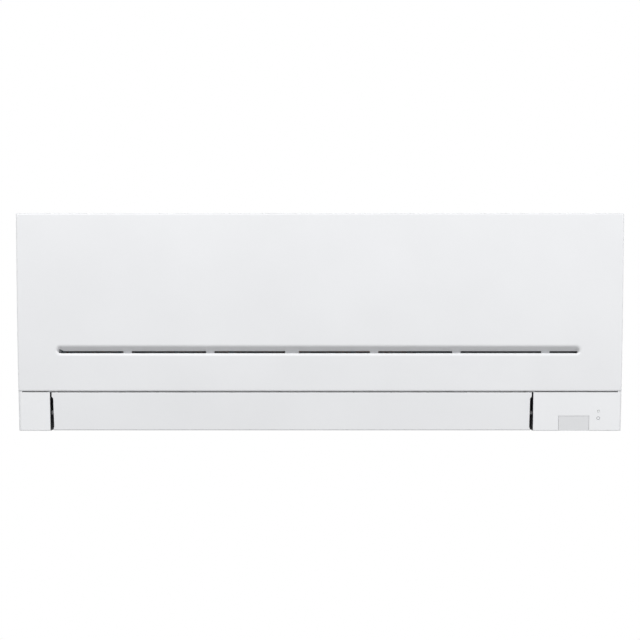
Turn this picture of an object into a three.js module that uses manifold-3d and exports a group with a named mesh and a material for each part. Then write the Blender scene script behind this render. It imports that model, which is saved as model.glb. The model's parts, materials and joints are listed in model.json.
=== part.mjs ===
// Wall-mounted mini split indoor unit, in millimetres.
// +X runs to the right as the unit is seen from the room, +Y points into the wall and +Z is up.
// The origin is on the wall plane, at the middle of the installation plate.
// Sections are drawn as [d, z] points: d is the distance out from the wall, so a point lies at y = -d.
import * as THREE from 'three';
import { mergeVertices } from 'three/addons/utils/BufferGeometryUtils.js';
import Module from 'manifold-3d';

// ---- Driving dimensions: the body ----
const WIDTH = 798;
const HEIGHT = 287;
const DEPTH = 219;
const FRONT_LEAN = 19.3; // how far a straight front would lean back from top to bottom
const FRONT_BOW = 15.7; // how much more it curves back towards the bottom
const FRONT_STEPS = 9; // straight steps that draw the bowed front
const CLEAR = 0.3; // gap between pieces that seat on each other
const WALL = 2.5; // moulded wall thickness
const EDGE_RADIUS = 4; // rounding of the upright front edges
const REAR_GAP = 1.5; // casing's rear edge to the wall
const SLIVER = 0.01; // facets thinner than this are merged away

// ---- Front panel ----
const PANEL_WALL = 2.6;
const PANEL_RETURN = 13; // depth of the panel's side and top returns
const PANEL_GAP = 1.5; // from those returns to the casing behind them
const PANEL_BOTTOM_RETURN = 5;
const VANE_HEIGHT = 51.3; // the closed vane as seen from the front
const SEAM_GAP = 1.5; // dark line between the panel and the vane
const SEAM_STEP = 5; // the casing closes that line at its two ends
const HINGE_INSET = 29; // hinge axis behind the panel's top front edge
const HINGE_DROP = 6.5; // hinge axis below the top
const HINGE_PIN_RADIUS = 2.2;
const HINGE_SIDE_INSET = 63; // hinge arms, in from each side
const HINGE_ARM = 4;
const SLOT_TOP_DROP = 172.5; // intake slot's upper edge below the top
const SLOT_HEIGHT = 11.2;
const SLOT_INSET = [48.5, 53]; // slot's left and right ends from the sides
const SLOT_DEPTH = 7; // how far the slot's sloping roof runs in
const SLOT_GAP = 2.5; // the open slit under that roof
const SLOT_SHELL = 2; // wall round the slot
// Ribs across the slit: place along the slot as a share of its length, and width.
const SLOT_BRIDGES = [[0.155, 11], [0.308, 11], [0.46, 18], [0.613, 11], [0.767, 11], [0.936, 11]];

// ---- Air outlet and horizontal vane ----
const LEFT_CAP = 42; // width of the casing left of the vane
const RIGHT_CAP = 117; // width of the casing right of the vane
const VANE_END_GAP = [1.6, 3.8]; // gap at the vane's ends, at its top and at the bottom
const VANE_WALL = 2.4;
const VANE_CORNER = 4.5;
const VANE_LIP = 22; // how far the vane runs back under the unit
const VANE_RIB_SPAN = 26; // height of the ribs that carry the vane, at the vane
const PIVOT_INSET = 20.6; // pivot axis behind the front face
const PIVOT_RISE = 23.5; // pivot axis above the bottom
const PIVOT_RADIUS = 2.5;
const PIVOT_HUB = 5.2;
const VANE_RIB = 2.4;
const SUPPORT_WIDTH = 6;
const SWEEP_RADIUS = 30.3; // everything behind the vane stays this far from its pivot
const VANE_MOTOR = [13, 17]; // radius and length

// ---- Fan ----
const FAN_RADIUS = 46;
const FAN_INSET = 125; // fan axis behind the front
const FAN_RISE = 121.5; // fan axis above the bottom
const FAN_BLADES = 20;
const FAN_BLADE = [11, 1.3]; // depth and thickness of a blade
const FAN_BLADE_LEAD = 0.5; // how far a blade's inner edge leads its outer edge, in blade spacings
const FAN_DISC = 3;
const FAN_END_GAP = 8; // fan's ends to the duct's side walls
const SHAFT_RADIUS = 4;
const FAN_BOSS = [11, 14]; // radius and length
const BEARING_RADIUS = 12;
const BEARING_MOUNT = 4;
const BEARING_WIDTH = 8;
const MOTOR_RADIUS = 42;
const MOTOR_LENGTH = 56;
const MOTOR_BOSS = [15, 6]; // radius and length of the boss at each end of the motor
const MOTOR_RING = 3.6; // thickness of the rubber rings round the motor
const MOTOR_RING_WIDTH = 8;
const MOTOR_FLANGE = 12;

// ---- Duct and drain pan ----
const DUCT_STEP = [6, 4.5]; // duct's left and right walls inside the casing's opening
const GUIDE_GAP = [5, 14]; // fan to the duct's rear wall, at its start and where the floor leaves it
const GUIDE_START = 150; // degrees round the fan from the front
const GUIDE_STEPS = 7;
const BULKHEAD_SHOULDER = 60; // bend of the bulkheads' front edge above the fan axis
const TONGUE_GAP = 4.5; // fan to the tongue that parts the air streams
const TONGUE_ANGLE = 35; // degrees below the fan's axis
const PAN_DEPTH = 8;
const PAN_WALL = 3;
const CHASSIS_BACK = 10;
const CHASSIS_SIDE = 6;
const RECESS_TOP = 53; // pipe recess: its height above the bottom
const RECESS_DEPTH = 44;
const REAR_TROUGH = 14; // floor of the trough under the rear coil, below the coil's foot

// ---- Heat exchanger ----
const COIL_THICKNESS = 25;
const COIL_INSET = 45; // coil's outer face behind the front
const COIL_FOOT = 81.5; // lower end above the bottom
const COIL_KNEE = 52; // bend of the front bank above the fan axis
const COIL_RIDGE_D = [4, -4]; // inner corners of the front and rear banks at the ridge, from the fan axis
const COIL_RIDGE_DROP = 30.5; // those corners below the top
const COIL_REAR_FOOT = [44, 62]; // rear bank's lower inner corner from the wall, and above the fan axis
const COIL_END_SPACE = 18; // fins to the duct's side walls
const TUBE_RADIUS = 3.5;
const FRONT_RUNS = 4; // tube runs in each straight part of the front bank
const REAR_RUNS = 4;
const COIL_PLATE = 1.2;
const PLATE_MARGIN = 1;
const BEND_SPACE = 6; // tubes beyond the end plates before they turn back
const TUBE_SIDES = 6;

// ---- Refrigerant pipes and drain ----
const GAS_RADIUS = 4.76; // 9.52 mm pipe
const LIQUID_RADIUS = 3.18; // 6.35 mm pipe
const PIPE_BEND = 15;
const PIPE_D = 26;
const GAS_RISE = 38; // pipe runs above the bottom
const LIQUID_RISE = 17;
const GAS_END = -140;
const LIQUID_END = -90;
const RISER_INSET = [43, 23]; // gas and liquid pipes' upright runs from the right side
const GAS_NUT = [10.5, 22]; // radius and length
const LIQUID_NUT = [8.5, 19];
const CLAMP_X = 60;
const CLAMP_WIDTH = 16;
const SPIGOT = [8.5, 6, 26]; // outer and inner radius, length
const SPIGOT_INSET = 89; // from the left side
const SPIGOT_RISE = 16;

// ---- Upright louvres ----
const LOUVRES_PER_SET = 6;
const LOUVRE_END_GAP = 32.25; // from the last louvre to the duct's side wall
const LOUVRE_MIDDLE_GAP = 64; // between the two sets' nearest louvres
const LOUVRE_REACH = [16, 12]; // upstream and downstream of the pivot
const LOUVRE_BAND = [4.2, 44]; // lower and upper edges above the duct floor
const LOUVRE_THICKNESS = 1.8;
const LOUVRE_BACK = 38; // pivots upstream of the outlet lip
const LINK_ARM = 11;
const LINK_HALF = 2.7;
const LINK_BAND = [0.7, 3.3];
const LINK_PIN = 1.4;
const LOUVRE_PIN = 1.8;
const PIN_PLAY = 0.5; // holes over their pins, all round
const RAIL_HALF = 4;
const RAIL_END = 9; // rail beyond its outer pins
const LINK_END = 5; // tie bar beyond its outer pins
const LOUVRE_MOTOR = [12, 14]; // radius and length

// ---- Intake grille and filters ----
const GRILLE_INSET = [14, 22, 43.5]; // at the sides, from the wall and from the front
const GRILLE_RIM = 7;
const GRILLE_BAR = 4.4;
const GRILLE_CELLS = [8, 10];
const LEDGE = 5;
const FILTER_WALL = 2.2;
const FILTER_INSET = 18.3; // outer face behind the front
const FILTER_TOP_DROP = 9.5;
const FILTER_BEND = 34;
const FILTER_FOOT = 83; // lower edge above the bottom
const FILTER_REAR = 40;
const FILTER_GAP = 6; // between the two filters
const FILTER_WINDOWS = [4, 3, 3]; // across, up the front, back over the top
const FILTER_RIB = 5;
const RAIL_LAP = 6;
const RAIL_THICKNESS = 1.2;
const FRONT_OPENING = [89.5, 25.5]; // filter opening: above the bottom and below the top

// ---- Electrical parts ----
const BOX_INSET = [69, 43]; // box's rear and front faces behind the front
const BOX_Z = [101.5, 43.5]; // above the bottom and below the top
const BOX_WALL = 2;
const BOARD = 1.6;
const TERMINAL = [40, 14, 30];
// Parts on the control board: place as shares of its width and height, then width, depth and height.
const BOARD_PARTS = [[0.2, 0.75, 30, 14, 22], [0.62, 0.8, 20, 12, 16], [0.85, 0.45, 14, 13, 14],
  [0.3, 0.3, 18, 8, 9], [0.6, 0.35, 9, 11, 9], [0.14, 0.12, 16, 6, 8]];
const WINDOW_X = [83, 43]; // receiver window from the right side
const WINDOW_HEIGHT = 19.6;
const WINDOW_UNDER = 10; // how far the window runs back under the unit
const WINDOW_LAP = 3;
const LAMP_INSET = 30.5;
const LAMP_RISE = 26.2;
const LAMP_RADIUS = 1.5;
const BUTTON_INSET = 54;
const BUTTON_RISE = 60.5;
const BUTTON_RADIUS = 4;
const BUTTON_FLANGE = 6;
const BUTTON_SKIRT = 1.6; // thickness of that flange
const BUTTON_PROUD = 3;
const BUTTON_TRAVEL = 1.2;
const DISPLAY_INSET = 51; // display board behind the front
const DISPLAY_X = [87, 14];
const DISPLAY_RISE = [9, 68];
const DISPLAY_POST_RISE = 48; // posts that carry the display board, above the bottom

// ---- Installation plate and fastenings ----
const PLATE = 1.2;
const PLATE_INSET = [59, 26]; // plate smaller than the unit, at each side and above and below
const PLATE_RISE = 4; // plate's middle above the unit's middle
const HOOK_X = 250;
const HOOK_WIDTH = 34;
const HOOK_DROP = 34; // hooks below the top
const PLATE_HOLE = 2.6;
const SCREW_INSET = [21, 99]; // casing screws from the left and right sides
const SCREW_D = 95;
const SCREW_RADIUS = 1.8;
const SCREW_HEAD = [3.4, 2.3];
const CAP_SIZE = [15.4, 13.4, 1.6];
const CAP_PIN = 0.7;
const POCKET_DEPTH = 8;
const POCKET_WALL = 2;

// ---- Places worked out from the sizes above ----
const TOP = HEIGHT / 2;
const BOTTOM = -HEIGHT / 2;
const SIDE = WIDTH / 2;
const radians = THREE.MathUtils.degToRad;
const front = (z) => {
  const t = (TOP - z) / HEIGHT;
  return DEPTH - FRONT_LEAN * t - FRONT_BOW * t * t;
};
const VANE_TOP = BOTTOM + VANE_HEIGHT;
const SEAM = VANE_TOP + SEAM_GAP;
const CASING_INSET = PANEL_RETURN + PANEL_GAP;
const OPEN_X = [-SIDE + LEFT_CAP, SIDE - RIGHT_CAP];
const DUCT_X = [OPEN_X[0] + DUCT_STEP[0], OPEN_X[1] - DUCT_STEP[1]];
const DUCT_MIDDLE = (DUCT_X[0] + DUCT_X[1]) / 2;
const PIVOT_Z = BOTTOM + PIVOT_RISE;
const PIVOT_D = front(PIVOT_Z) - PIVOT_INSET;
const FAN_D = DEPTH - FAN_INSET;
const FAN_Z = BOTTOM + FAN_RISE;
const FAN_X = [DUCT_X[0] + FAN_END_GAP, DUCT_X[1] - FAN_END_GAP];
const HINGE_D = DEPTH - HINGE_INSET;
const HINGE_Z = TOP - HINGE_DROP;
const HINGE_X = SIDE - HINGE_SIDE_INSET;
const MOTOR_LEFT = DUCT_X[1] + WALL + MOTOR_BOSS[1];
const MOTOR_X = [MOTOR_LEFT, MOTOR_LEFT + MOTOR_LENGTH];
const RINGS_X = [MOTOR_X[0] + 4, MOTOR_X[1] - 4 - MOTOR_RING_WIDTH];
const CHASSIS_X = SIDE - CHASSIS_SIDE;
const OUTLET_X = [DUCT_X[0] - WALL, DUCT_X[1] + WALL];
const PLATE_SIZE = [WIDTH - 2 * PLATE_INSET[0], HEIGHT - 2 * PLATE_INSET[1]];
const [GAS_X, LIQUID_X] = RISER_INSET.map((inset) => SIDE - inset);
const SPIGOT_X = -SIDE + SPIGOT_INSET;
const LOUVRE_PITCH = ((DUCT_X[1] - DUCT_X[0] - LOUVRE_MIDDLE_GAP) / 2 - LOUVRE_END_GAP)
  / (LOUVRES_PER_SET - 1);

const wasm = await Module();
wasm.setup();

// ---- Helpers ----
function solidOf(geometry) {
  const bare = geometry.index ? geometry.toNonIndexed() : geometry.clone();
  for (const name of Object.keys(bare.attributes)) {
    if (name !== 'position') bare.deleteAttribute(name);
  }
  const merged = mergeVertices(bare, 1e-4);
  const vertProperties = merged.attributes.position.array;
  const triVerts = new Uint32Array(merged.index.array);
  return new wasm.Manifold(new wasm.Mesh({ numProp: 3, vertProperties, triVerts }));
}

const join = (...solids) => solids.reduce((a, b) => a.add(b));
const cut = (solid, ...tools) => tools.reduce((a, b) => a.subtract(b), solid);

// A [d, z] section run along X from x0 to x1.
const SECTION_TO_ROW = new THREE.Matrix4().makeBasis(
  new THREE.Vector3(0, -1, 0), new THREE.Vector3(0, 0, 1), new THREE.Vector3(-1, 0, 0));
function prism(points, x0, x1, holes = []) {
  const shape = new THREE.Shape(points.map(([d, z]) => new THREE.Vector2(d, z)));
  shape.holes = holes.map((hole) => new THREE.Path(hole.map(([d, z]) => new THREE.Vector2(d, z))));
  const geometry = new THREE.ExtrudeGeometry(shape, { depth: x1 - x0, bevelEnabled: false });
  return solidOf(geometry.applyMatrix4(SECTION_TO_ROW).translate(x1, 0, 0));
}

// An upright [x, z] outline given depth from d0 to d1.
const FACE_TO_ROW = new THREE.Matrix4().makeBasis(
  new THREE.Vector3(1, 0, 0), new THREE.Vector3(0, 0, 1), new THREE.Vector3(0, -1, 0));
function slab(points, d0, d1) {
  const shape = new THREE.Shape(points.map(([x, z]) => new THREE.Vector2(x, z)));
  const geometry = new THREE.ExtrudeGeometry(shape, { depth: d1 - d0, bevelEnabled: false });
  return solidOf(geometry.applyMatrix4(FACE_TO_ROW).translate(0, -d0, 0));
}

function block(x0, x1, d0, d1, z0, z1) {
  const geometry = new THREE.BoxGeometry(x1 - x0, d1 - d0, z1 - z0);
  return solidOf(geometry.translate((x0 + x1) / 2, -(d0 + d1) / 2, (z0 + z1) / 2));
}

const at = (x, d, z) => new THREE.Vector3(x, -d, z);

function rod(from, to, radius, sides = 10) {
  const along = to.clone().sub(from);
  const geometry = new THREE.CylinderGeometry(radius, radius, along.length(), sides);
  const turn = new THREE.Quaternion().setFromUnitVectors(new THREE.Vector3(0, 1, 0), along.normalize());
  const middle = from.clone().add(to).multiplyScalar(0.5);
  return solidOf(geometry.applyQuaternion(turn).translate(middle.x, middle.y, middle.z));
}
const rodX = (x0, x1, d, z, radius, sides) => rod(at(x0, d, z), at(x1, d, z), radius, sides);

function circle(d, z, radius, sides) {
  const points = [];
  for (let i = 0; i < sides; i += 1) {
    const angle = (2 * Math.PI * i) / sides;
    points.push([d + radius * Math.cos(angle), z + radius * Math.sin(angle)]);
  }
  return points;
}

function arc(d, z, radius, from, to, steps) {
  const points = [];
  for (let i = 0; i <= steps; i += 1) {
    const angle = from + ((to - from) * i) / steps;
    points.push([d + radius * Math.cos(angle), z + radius * Math.sin(angle)]);
  }
  return points;
}

// Gives an open line of [d, z] points a thickness on its right-hand side.
function ribbon(line, thickness) {
  const other = line.map(([d, z], i) => {
    const before = line[Math.max(i - 1, 0)];
    const after = line[Math.min(i + 1, line.length - 1)];
    const run = Math.hypot(after[0] - before[0], after[1] - before[1]);
    const across = [(after[1] - before[1]) / run, (before[0] - after[0]) / run];
    return [d + across[0] * thickness, z + across[1] * thickness];
  });
  return [...line, ...other.reverse()];
}

// Heights from low to high in equal steps, for everything that follows the bowed front.
function heights(low, high) {
  const steps = Math.max(1, Math.round(((high - low) / HEIGHT) * FRONT_STEPS));
  return Array.from({ length: steps + 1 }, (_, i) => low + ((high - low) * i) / steps);
}

// A block whose front follows the bowed front, inset behind it, with rounded upright front edges.
function bowedBlock(x0, x1, back, inset, low, high, radiusLeft, radiusRight) {
  const corner = 3;
  const rings = heights(low, high).map((z) => {
    const d = front(z) - inset;
    const rear = typeof back === 'function' ? back(z) : back;
    const ring = [[x1, rear]];
    for (let i = 0; i <= corner; i += 1) {
      const a = (Math.PI / 2) * (i / corner);
      ring.push([x1 - radiusRight * (1 - Math.cos(a)), d - radiusRight * (1 - Math.sin(a))]);
    }
    for (let i = 0; i <= corner; i += 1) {
      const a = (Math.PI / 2) * (1 - i / corner);
      ring.push([x0 + radiusLeft * (1 - Math.cos(a)), d - radiusLeft * (1 - Math.sin(a))]);
    }
    ring.push([x0, rear]);
    const kept = ring.filter(([x, y], i) => i === 0
      || Math.hypot(x - ring[i - 1][0], y - ring[i - 1][1]) > 1e-6);
    return kept.map(([x, depth]) => at(x, depth, z));
  });
  return loft(rings);
}

// A closed skin through rings of equal length, one above the other.
function loft(rings) {
  const flat = rings[0].map((p) => new THREE.Vector2(p.x, p.y));
  const turned = THREE.ShapeUtils.isClockWise(flat);
  const loops = turned ? rings.map((ring) => [...ring].reverse()) : rings;
  const outline = turned ? flat.reverse() : flat;
  const n = outline.length;
  const last = (loops.length - 1) * n;
  const positions = loops.flat().flatMap((p) => [p.x, p.y, p.z]);
  const index = [];
  for (let start = 0; start < last; start += n) {
    for (let i = 0; i < n; i += 1) {
      const a = start + i;
      const b = start + ((i + 1) % n);
      index.push(a, b, a + n, b, b + n, a + n);
    }
  }
  for (const [a, b, c] of THREE.ShapeUtils.triangulateShape(outline, [])) {
    index.push(a, c, b, last + a, last + b, last + c);
  }
  const geometry = new THREE.BufferGeometry();
  geometry.setAttribute('position', new THREE.Float32BufferAttribute(positions, 3));
  geometry.setIndex(index);
  return solidOf(geometry);
}

// A route through listed points, stepped exactly at them.
class Route extends THREE.Curve {
  constructor(points) {
    super();
    this.points = points;
  }

  getPoint(t) {
    const last = this.points.length - 1;
    const i = Math.min(Math.floor(t * last + 1e-9), last - 1);
    return this.points[i].clone().lerp(this.points[i + 1], t * last - i);
  }

  getPointAt(u) {
    return this.getPoint(u);
  }

  getTangentAt(u) {
    const last = this.points.length - 1;
    const i = Math.round(u * last);
    const before = this.points[Math.max(i - 1, 0)];
    const after = this.points[Math.min(i + 1, last)];
    const here = this.points[i];
    const arriving = here.clone().sub(before).normalize();
    const leaving = after.clone().sub(here).normalize();
    return arriving.add(leaving).normalize();
  }
}

// A pipe through corner points, each corner rounded to a bend.
function pipe(corners, radius, bend, sides, bendSteps) {
  const points = [corners[0]];
  for (let i = 1; i + 1 < corners.length; i += 1) {
    const arriving = corners[i].clone().sub(corners[i - 1]).normalize();
    const leaving = corners[i + 1].clone().sub(corners[i]).normalize();
    const turn = arriving.angleTo(leaving);
    const reach = bend * Math.tan(turn / 2);
    const start = corners[i].clone().addScaledVector(arriving, -reach);
    const inward = leaving.clone().addScaledVector(arriving, -arriving.dot(leaving)).normalize();
    const centre = start.clone().addScaledVector(inward, bend);
    for (let k = 0; k <= bendSteps; k += 1) {
      const a = (turn * k) / bendSteps;
      points.push(centre.clone().addScaledVector(inward, -bend * Math.cos(a))
        .addScaledVector(arriving, bend * Math.sin(a)));
    }
  }
  points.push(corners[corners.length - 1]);
  const kept = points.filter((p, i) => i === 0 || p.distanceTo(points[i - 1]) > 1e-3);
  const section = new THREE.Shape(circle(0, 0, radius, sides).map(([a, b]) => new THREE.Vector2(a, b)));
  const extrudePath = new Route(kept);
  return solidOf(new THREE.ExtrudeGeometry(section, { steps: kept.length - 1, extrudePath }));
}

// ---- Materials ----
const finish = (color, roughness, metalness) => new THREE.MeshStandardMaterial({
  color, roughness, metalness,
});
const MATERIALS = {
  white: finish(0xf1f2f4, 0.38, 0),
  housing: finish(0xe4e5e6, 0.5, 0),
  vane: finish(0xeceded, 0.36, 0),
  darkPlastic: finish(0x24262a, 0.55, 0),
  greyPlastic: finish(0x9a9da1, 0.5, 0),
  foam: finish(0xdcdcd6, 0.9, 0),
  fins: finish(0xb9c6cf, 0.35, 0.85),
  copper: finish(0xb87345, 0.3, 1),
  brass: finish(0xc2a05a, 0.3, 1),
  steel: finish(0xb9bdc1, 0.35, 0.9),
  rubber: finish(0x1c1c1e, 0.9, 0),
  filter: finish(0x7f8990, 0.7, 0),
  board: finish(0x2f6b3f, 0.5, 0),
  window: finish(0xd4d6d8, 0.2, 0),
  lamp: finish(0xbfe3c2, 0.2, 0),
};

const unit = new THREE.Group();
function add(name, solid, material) {
  const { numProp, vertProperties, triVerts } = solid.simplify(SLIVER).getMesh();
  const geometry = new THREE.BufferGeometry();
  const positions = new Float32Array((vertProperties.length / numProp) * 3);
  for (let i = 0; i < positions.length / 3; i += 1) {
    positions.set(vertProperties.subarray(i * numProp, i * numProp + 3), i * 3);
  }
  geometry.setAttribute('position', new THREE.BufferAttribute(positions, 3));
  geometry.setIndex(new THREE.BufferAttribute(new Uint32Array(triVerts), 1));
  geometry.computeVertexNormals();
  const mesh = new THREE.Mesh(geometry, MATERIALS[material]);
  mesh.name = name;
  unit.add(mesh);
}

// ---- Installation plate: sheet steel screwed to the wall, with three hooks that carry the unit ----
const HOOK_Z = TOP - HOOK_DROP;
const HOOKS = [-HOOK_X, 0, HOOK_X];

function installationPlate() {
  const [width, height] = PLATE_SIZE;
  const low = PLATE_RISE - height / 2;
  const sheet = block(-width / 2, width / 2, 0, PLATE, low, low + height);
  const reach = CHASSIS_BACK - 1;
  const hooks = HOOKS.map((x) => prism([[PLATE / 2, HOOK_Z], [reach, HOOK_Z], [reach, HOOK_Z + 10],
    [reach - PLATE, HOOK_Z + 10], [reach - PLATE, HOOK_Z + PLATE], [PLATE / 2, HOOK_Z + PLATE]],
  x - HOOK_WIDTH / 2, x + HOOK_WIDTH / 2));
  const holes = [];
  for (const z of [low + 14, low + height / 2, low + height - 14]) {
    for (const x of [-0.45, -0.22, 0.06, 0.28, 0.45]) {
      holes.push(rod(at(x * width, -1, z), at(x * width, PLATE + 1, z), PLATE_HOLE, 8));
    }
  }
  const corner = RECESS_DEPTH;
  const pipeCorner = block(width / 2 - corner, width / 2 + 1, -1, PLATE + 1, low - 1, low + corner / 2);
  return cut(join(sheet, ...hooks), ...holes, pipeCorner);
}

// ---- The duct: a rear wall that winds round the fan and runs straight to the outlet lip ----
const sweepD = (z) => PIVOT_D - Math.sqrt(SWEEP_RADIUS ** 2 - (PIVOT_Z - z) ** 2);
const LIP = [sweepD(BOTTOM + WALL), BOTTOM + WALL];
const FLOOR_RADIUS = FAN_RADIUS + GUIDE_GAP[1];
const LIP_REACH = Math.hypot(LIP[0] - FAN_D, LIP[1] - FAN_Z);
const FLOOR_ANGLE = 2 * Math.PI + Math.atan2(LIP[1] - FAN_Z, LIP[0] - FAN_D)
  - Math.acos(FLOOR_RADIUS / LIP_REACH);
const FLOW = [-Math.sin(FLOOR_ANGLE), Math.cos(FLOOR_ANGLE)];
const RISE = [-FLOW[1], FLOW[0]];
// A point of the duct by its distance upstream of the lip and its height above the floor.
const inDuct = (upstream, rise) => [LIP[0] - upstream * FLOW[0] + rise * RISE[0],
  LIP[1] - upstream * FLOW[1] + rise * RISE[1]];

function guideLine() {
  const from = radians(GUIDE_START);
  const points = [];
  for (let i = 0; i <= GUIDE_STEPS; i += 1) {
    const t = i / GUIDE_STEPS;
    const angle = from + (FLOOR_ANGLE - from) * t;
    const radius = FAN_RADIUS + GUIDE_GAP[0] + (GUIDE_GAP[1] - GUIDE_GAP[0]) * t;
    points.push([FAN_D + radius * Math.cos(angle), FAN_Z + radius * Math.sin(angle)]);
  }
  return [...points, LIP];
}

// ---- Heat exchanger sections ----
const alongOf = (from, to) => {
  const length = Math.hypot(to[0] - from[0], to[1] - from[1]);
  return { length, d: (to[0] - from[0]) / length, z: (to[1] - from[1]) / length };
};
const COIL_D = DEPTH - COIL_INSET;
const COIL_INNER_D = COIL_D - COIL_THICKNESS;
const KNEE = [COIL_INNER_D, FAN_Z + COIL_KNEE];
const RIDGE_Z = TOP - COIL_RIDGE_DROP;
const FRONT_RIDGE = [FAN_D + COIL_RIDGE_D[0], RIDGE_Z];
const REAR_RIDGE = [FAN_D + COIL_RIDGE_D[1], RIDGE_Z];
const REAR_FOOT = [COIL_REAR_FOOT[0], FAN_Z + COIL_REAR_FOOT[1]];
const COIL_FOOT_Z = BOTTOM + COIL_FOOT;
const upperWay = alongOf(KNEE, FRONT_RIDGE);
const rearWay = alongOf(REAR_FOOT, REAR_RIDGE);
const outFront = ([d, z]) => [d + upperWay.z * COIL_THICKNESS, z - upperWay.d * COIL_THICKNESS];
const outRear = ([d, z]) => [d - rearWay.z * COIL_THICKNESS, z + rearWay.d * COIL_THICKNESS];
const KNEE_OUTER = [COIL_D, KNEE[1] + COIL_THICKNESS * Math.tan(Math.atan2(-upperWay.d, upperWay.z) / 2)];
const FRONT_BANK = [[COIL_INNER_D, COIL_FOOT_Z], [COIL_D, COIL_FOOT_Z], KNEE_OUTER, outFront(FRONT_RIDGE),
  FRONT_RIDGE, KNEE];
const REAR_BANK = [REAR_FOOT, REAR_RIDGE, outRear(REAR_RIDGE), outRear(REAR_FOOT)];
const FIN_X = [DUCT_X[0] + COIL_END_SPACE, DUCT_X[1] - COIL_END_SPACE];
const COIL_PLATE_X = [FIN_X[0] - CLEAR - COIL_PLATE, FIN_X[1] + CLEAR];

// Tube runs in the order the refrigerant takes: up the front bank, then down the rear bank.
function tubeRuns() {
  const half = COIL_THICKNESS / 2;
  const runs = [];
  for (let i = 0; i < FRONT_RUNS; i += 1) {
    const t = (i + 0.5) / FRONT_RUNS;
    runs.push([COIL_INNER_D + half, COIL_FOOT_Z + (KNEE[1] - COIL_FOOT_Z) * t]);
  }
  for (let i = 0; i < FRONT_RUNS; i += 1) {
    const t = (upperWay.length * (i + 0.6)) / FRONT_RUNS;
    runs.push([KNEE[0] + upperWay.d * t + upperWay.z * half, KNEE[1] + upperWay.z * t - upperWay.d * half]);
  }
  for (let i = REAR_RUNS - 1; i >= 0; i -= 1) {
    const t = (rearWay.length * (i + 0.5)) / REAR_RUNS;
    runs.push([REAR_FOOT[0] + rearWay.d * t - rearWay.z * half,
      REAR_FOOT[1] + rearWay.z * t + rearWay.d * half]);
  }
  return runs;
}
const RUNS = tubeRuns();
const TUBE_HOLE = (TUBE_RADIUS + CLEAR / 2) / Math.cos(Math.PI / TUBE_SIDES);
const tubeHoles = (x0, x1) => RUNS.map(([d, z]) => rodX(x0, x1, d, z, TUBE_HOLE, TUBE_SIDES));

const coilFins = (section) => cut(prism(section, ...FIN_X), ...tubeHoles(FIN_X[0] - 1, FIN_X[1] + 1));

function coilTube() {
  const past = BEND_SPACE + TUBE_RADIUS;
  const ends = [COIL_PLATE_X[0] - past, COIL_PLATE_X[1] + COIL_PLATE + past];
  const corners = [at(ends[1] + TUBE_RADIUS, ...RUNS[0])];
  RUNS.forEach((run, i) => {
    const near = ends[i % 2];
    if (i > 0) corners.push(at(ends[(i + 1) % 2], ...run));
    if (i + 1 < RUNS.length) corners.push(at(near, ...run));
  });
  corners.push(at(ends[1] + TUBE_RADIUS, ...RUNS[RUNS.length - 1]));
  return pipe(corners, TUBE_RADIUS, BEND_SPACE, TUBE_SIDES, 3);
}

function coilPlate(side) {
  const x = COIL_PLATE_X[side];
  const m = PLATE_MARGIN;
  const [frontTop, rearTop, rear] = [outFront(FRONT_RIDGE), outRear(REAR_RIDGE), outRear(REAR_FOOT)];
  const outline = [[COIL_INNER_D - m, COIL_FOOT_Z - m], [COIL_D + m / 2, COIL_FOOT_Z - m],
    [COIL_D + m / 2, KNEE_OUTER[1]], [frontTop[0] + m, frontTop[1] + m], [rearTop[0] - m, rearTop[1] + m],
    [rear[0] - m, rear[1]], [REAR_FOOT[0], REAR_FOOT[1] - m], [REAR_RIDGE[0], RIDGE_Z - m],
    [FRONT_RIDGE[0], RIDGE_Z - m], [COIL_INNER_D - m, KNEE[1] - m]];
  const sheet = prism(outline, x, x + COIL_PLATE);
  const wall = side === 0 ? DUCT_X[0] + CLEAR : DUCT_X[1] - CLEAR;
  const [a, b] = side === 0 ? [wall, x + COIL_PLATE] : [x, wall];
  const foot = block(a, b, COIL_INNER_D, COIL_D, COIL_FOOT_Z - m, COIL_FOOT_Z - m + COIL_PLATE);
  const tab = prism([[rear[0] - m, rear[1]], [rear[0] - m + COIL_PLATE, rear[1] - COIL_PLATE],
    [rear[0] + 14, rear[1] + 18], [rear[0] + 12, rear[1] + 19.5]], a, b);
  return cut(join(sheet, foot, tab), ...tubeHoles(x - 1, x + COIL_PLATE + 1));
}

function ridgeSeal() {
  const gap = 1.3 * CLEAR;
  const raise = ([d, z], way) => [d + way.d * gap, z + way.z * gap];
  const frontOut = raise(outFront(FRONT_RIDGE), upperWay);
  const rearOut = raise(outRear(REAR_RIDGE), rearWay);
  const top = Math.max(frontOut[1], rearOut[1]) + 1;
  return prism([raise(REAR_RIDGE, rearWay), raise(FRONT_RIDGE, upperWay), frontOut, [frontOut[0] - 1, top],
    [rearOut[0] + 1, top], rearOut], ...FIN_X);
}

// ---- Pipes, their clamp and the drain ----
const GAS_Z = BOTTOM + GAS_RISE;
const LIQUID_Z = BOTTOM + LIQUID_RISE;
const TUBE_END_X = COIL_PLATE_X[1] + COIL_PLATE + BEND_SPACE + 2 * TUBE_RADIUS;

function connectionPipe(run, radius, x, z, end) {
  const corners = [at(TUBE_END_X + CLEAR, ...run), at(x, ...run)];
  if (run[0] - PIPE_D > 2 * PIPE_BEND) corners.push(at(x, PIPE_D, run[1]));
  corners.push(at(x, PIPE_D, z), at(end, PIPE_D, z));
  return pipe(corners, radius, PIPE_BEND, 8, 4);
}

function flareNut([radius, length], end, z, pipeRadius) {
  const body = rodX(end - 4, end - 4 + length, PIPE_D, z, radius, 6);
  return cut(body, rodX(end - CLEAR, end + length, PIPE_D, z, pipeRadius + CLEAR, 8),
    rodX(end - 5, end + 1, PIPE_D, z, pipeRadius - 1, 8));
}

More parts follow.
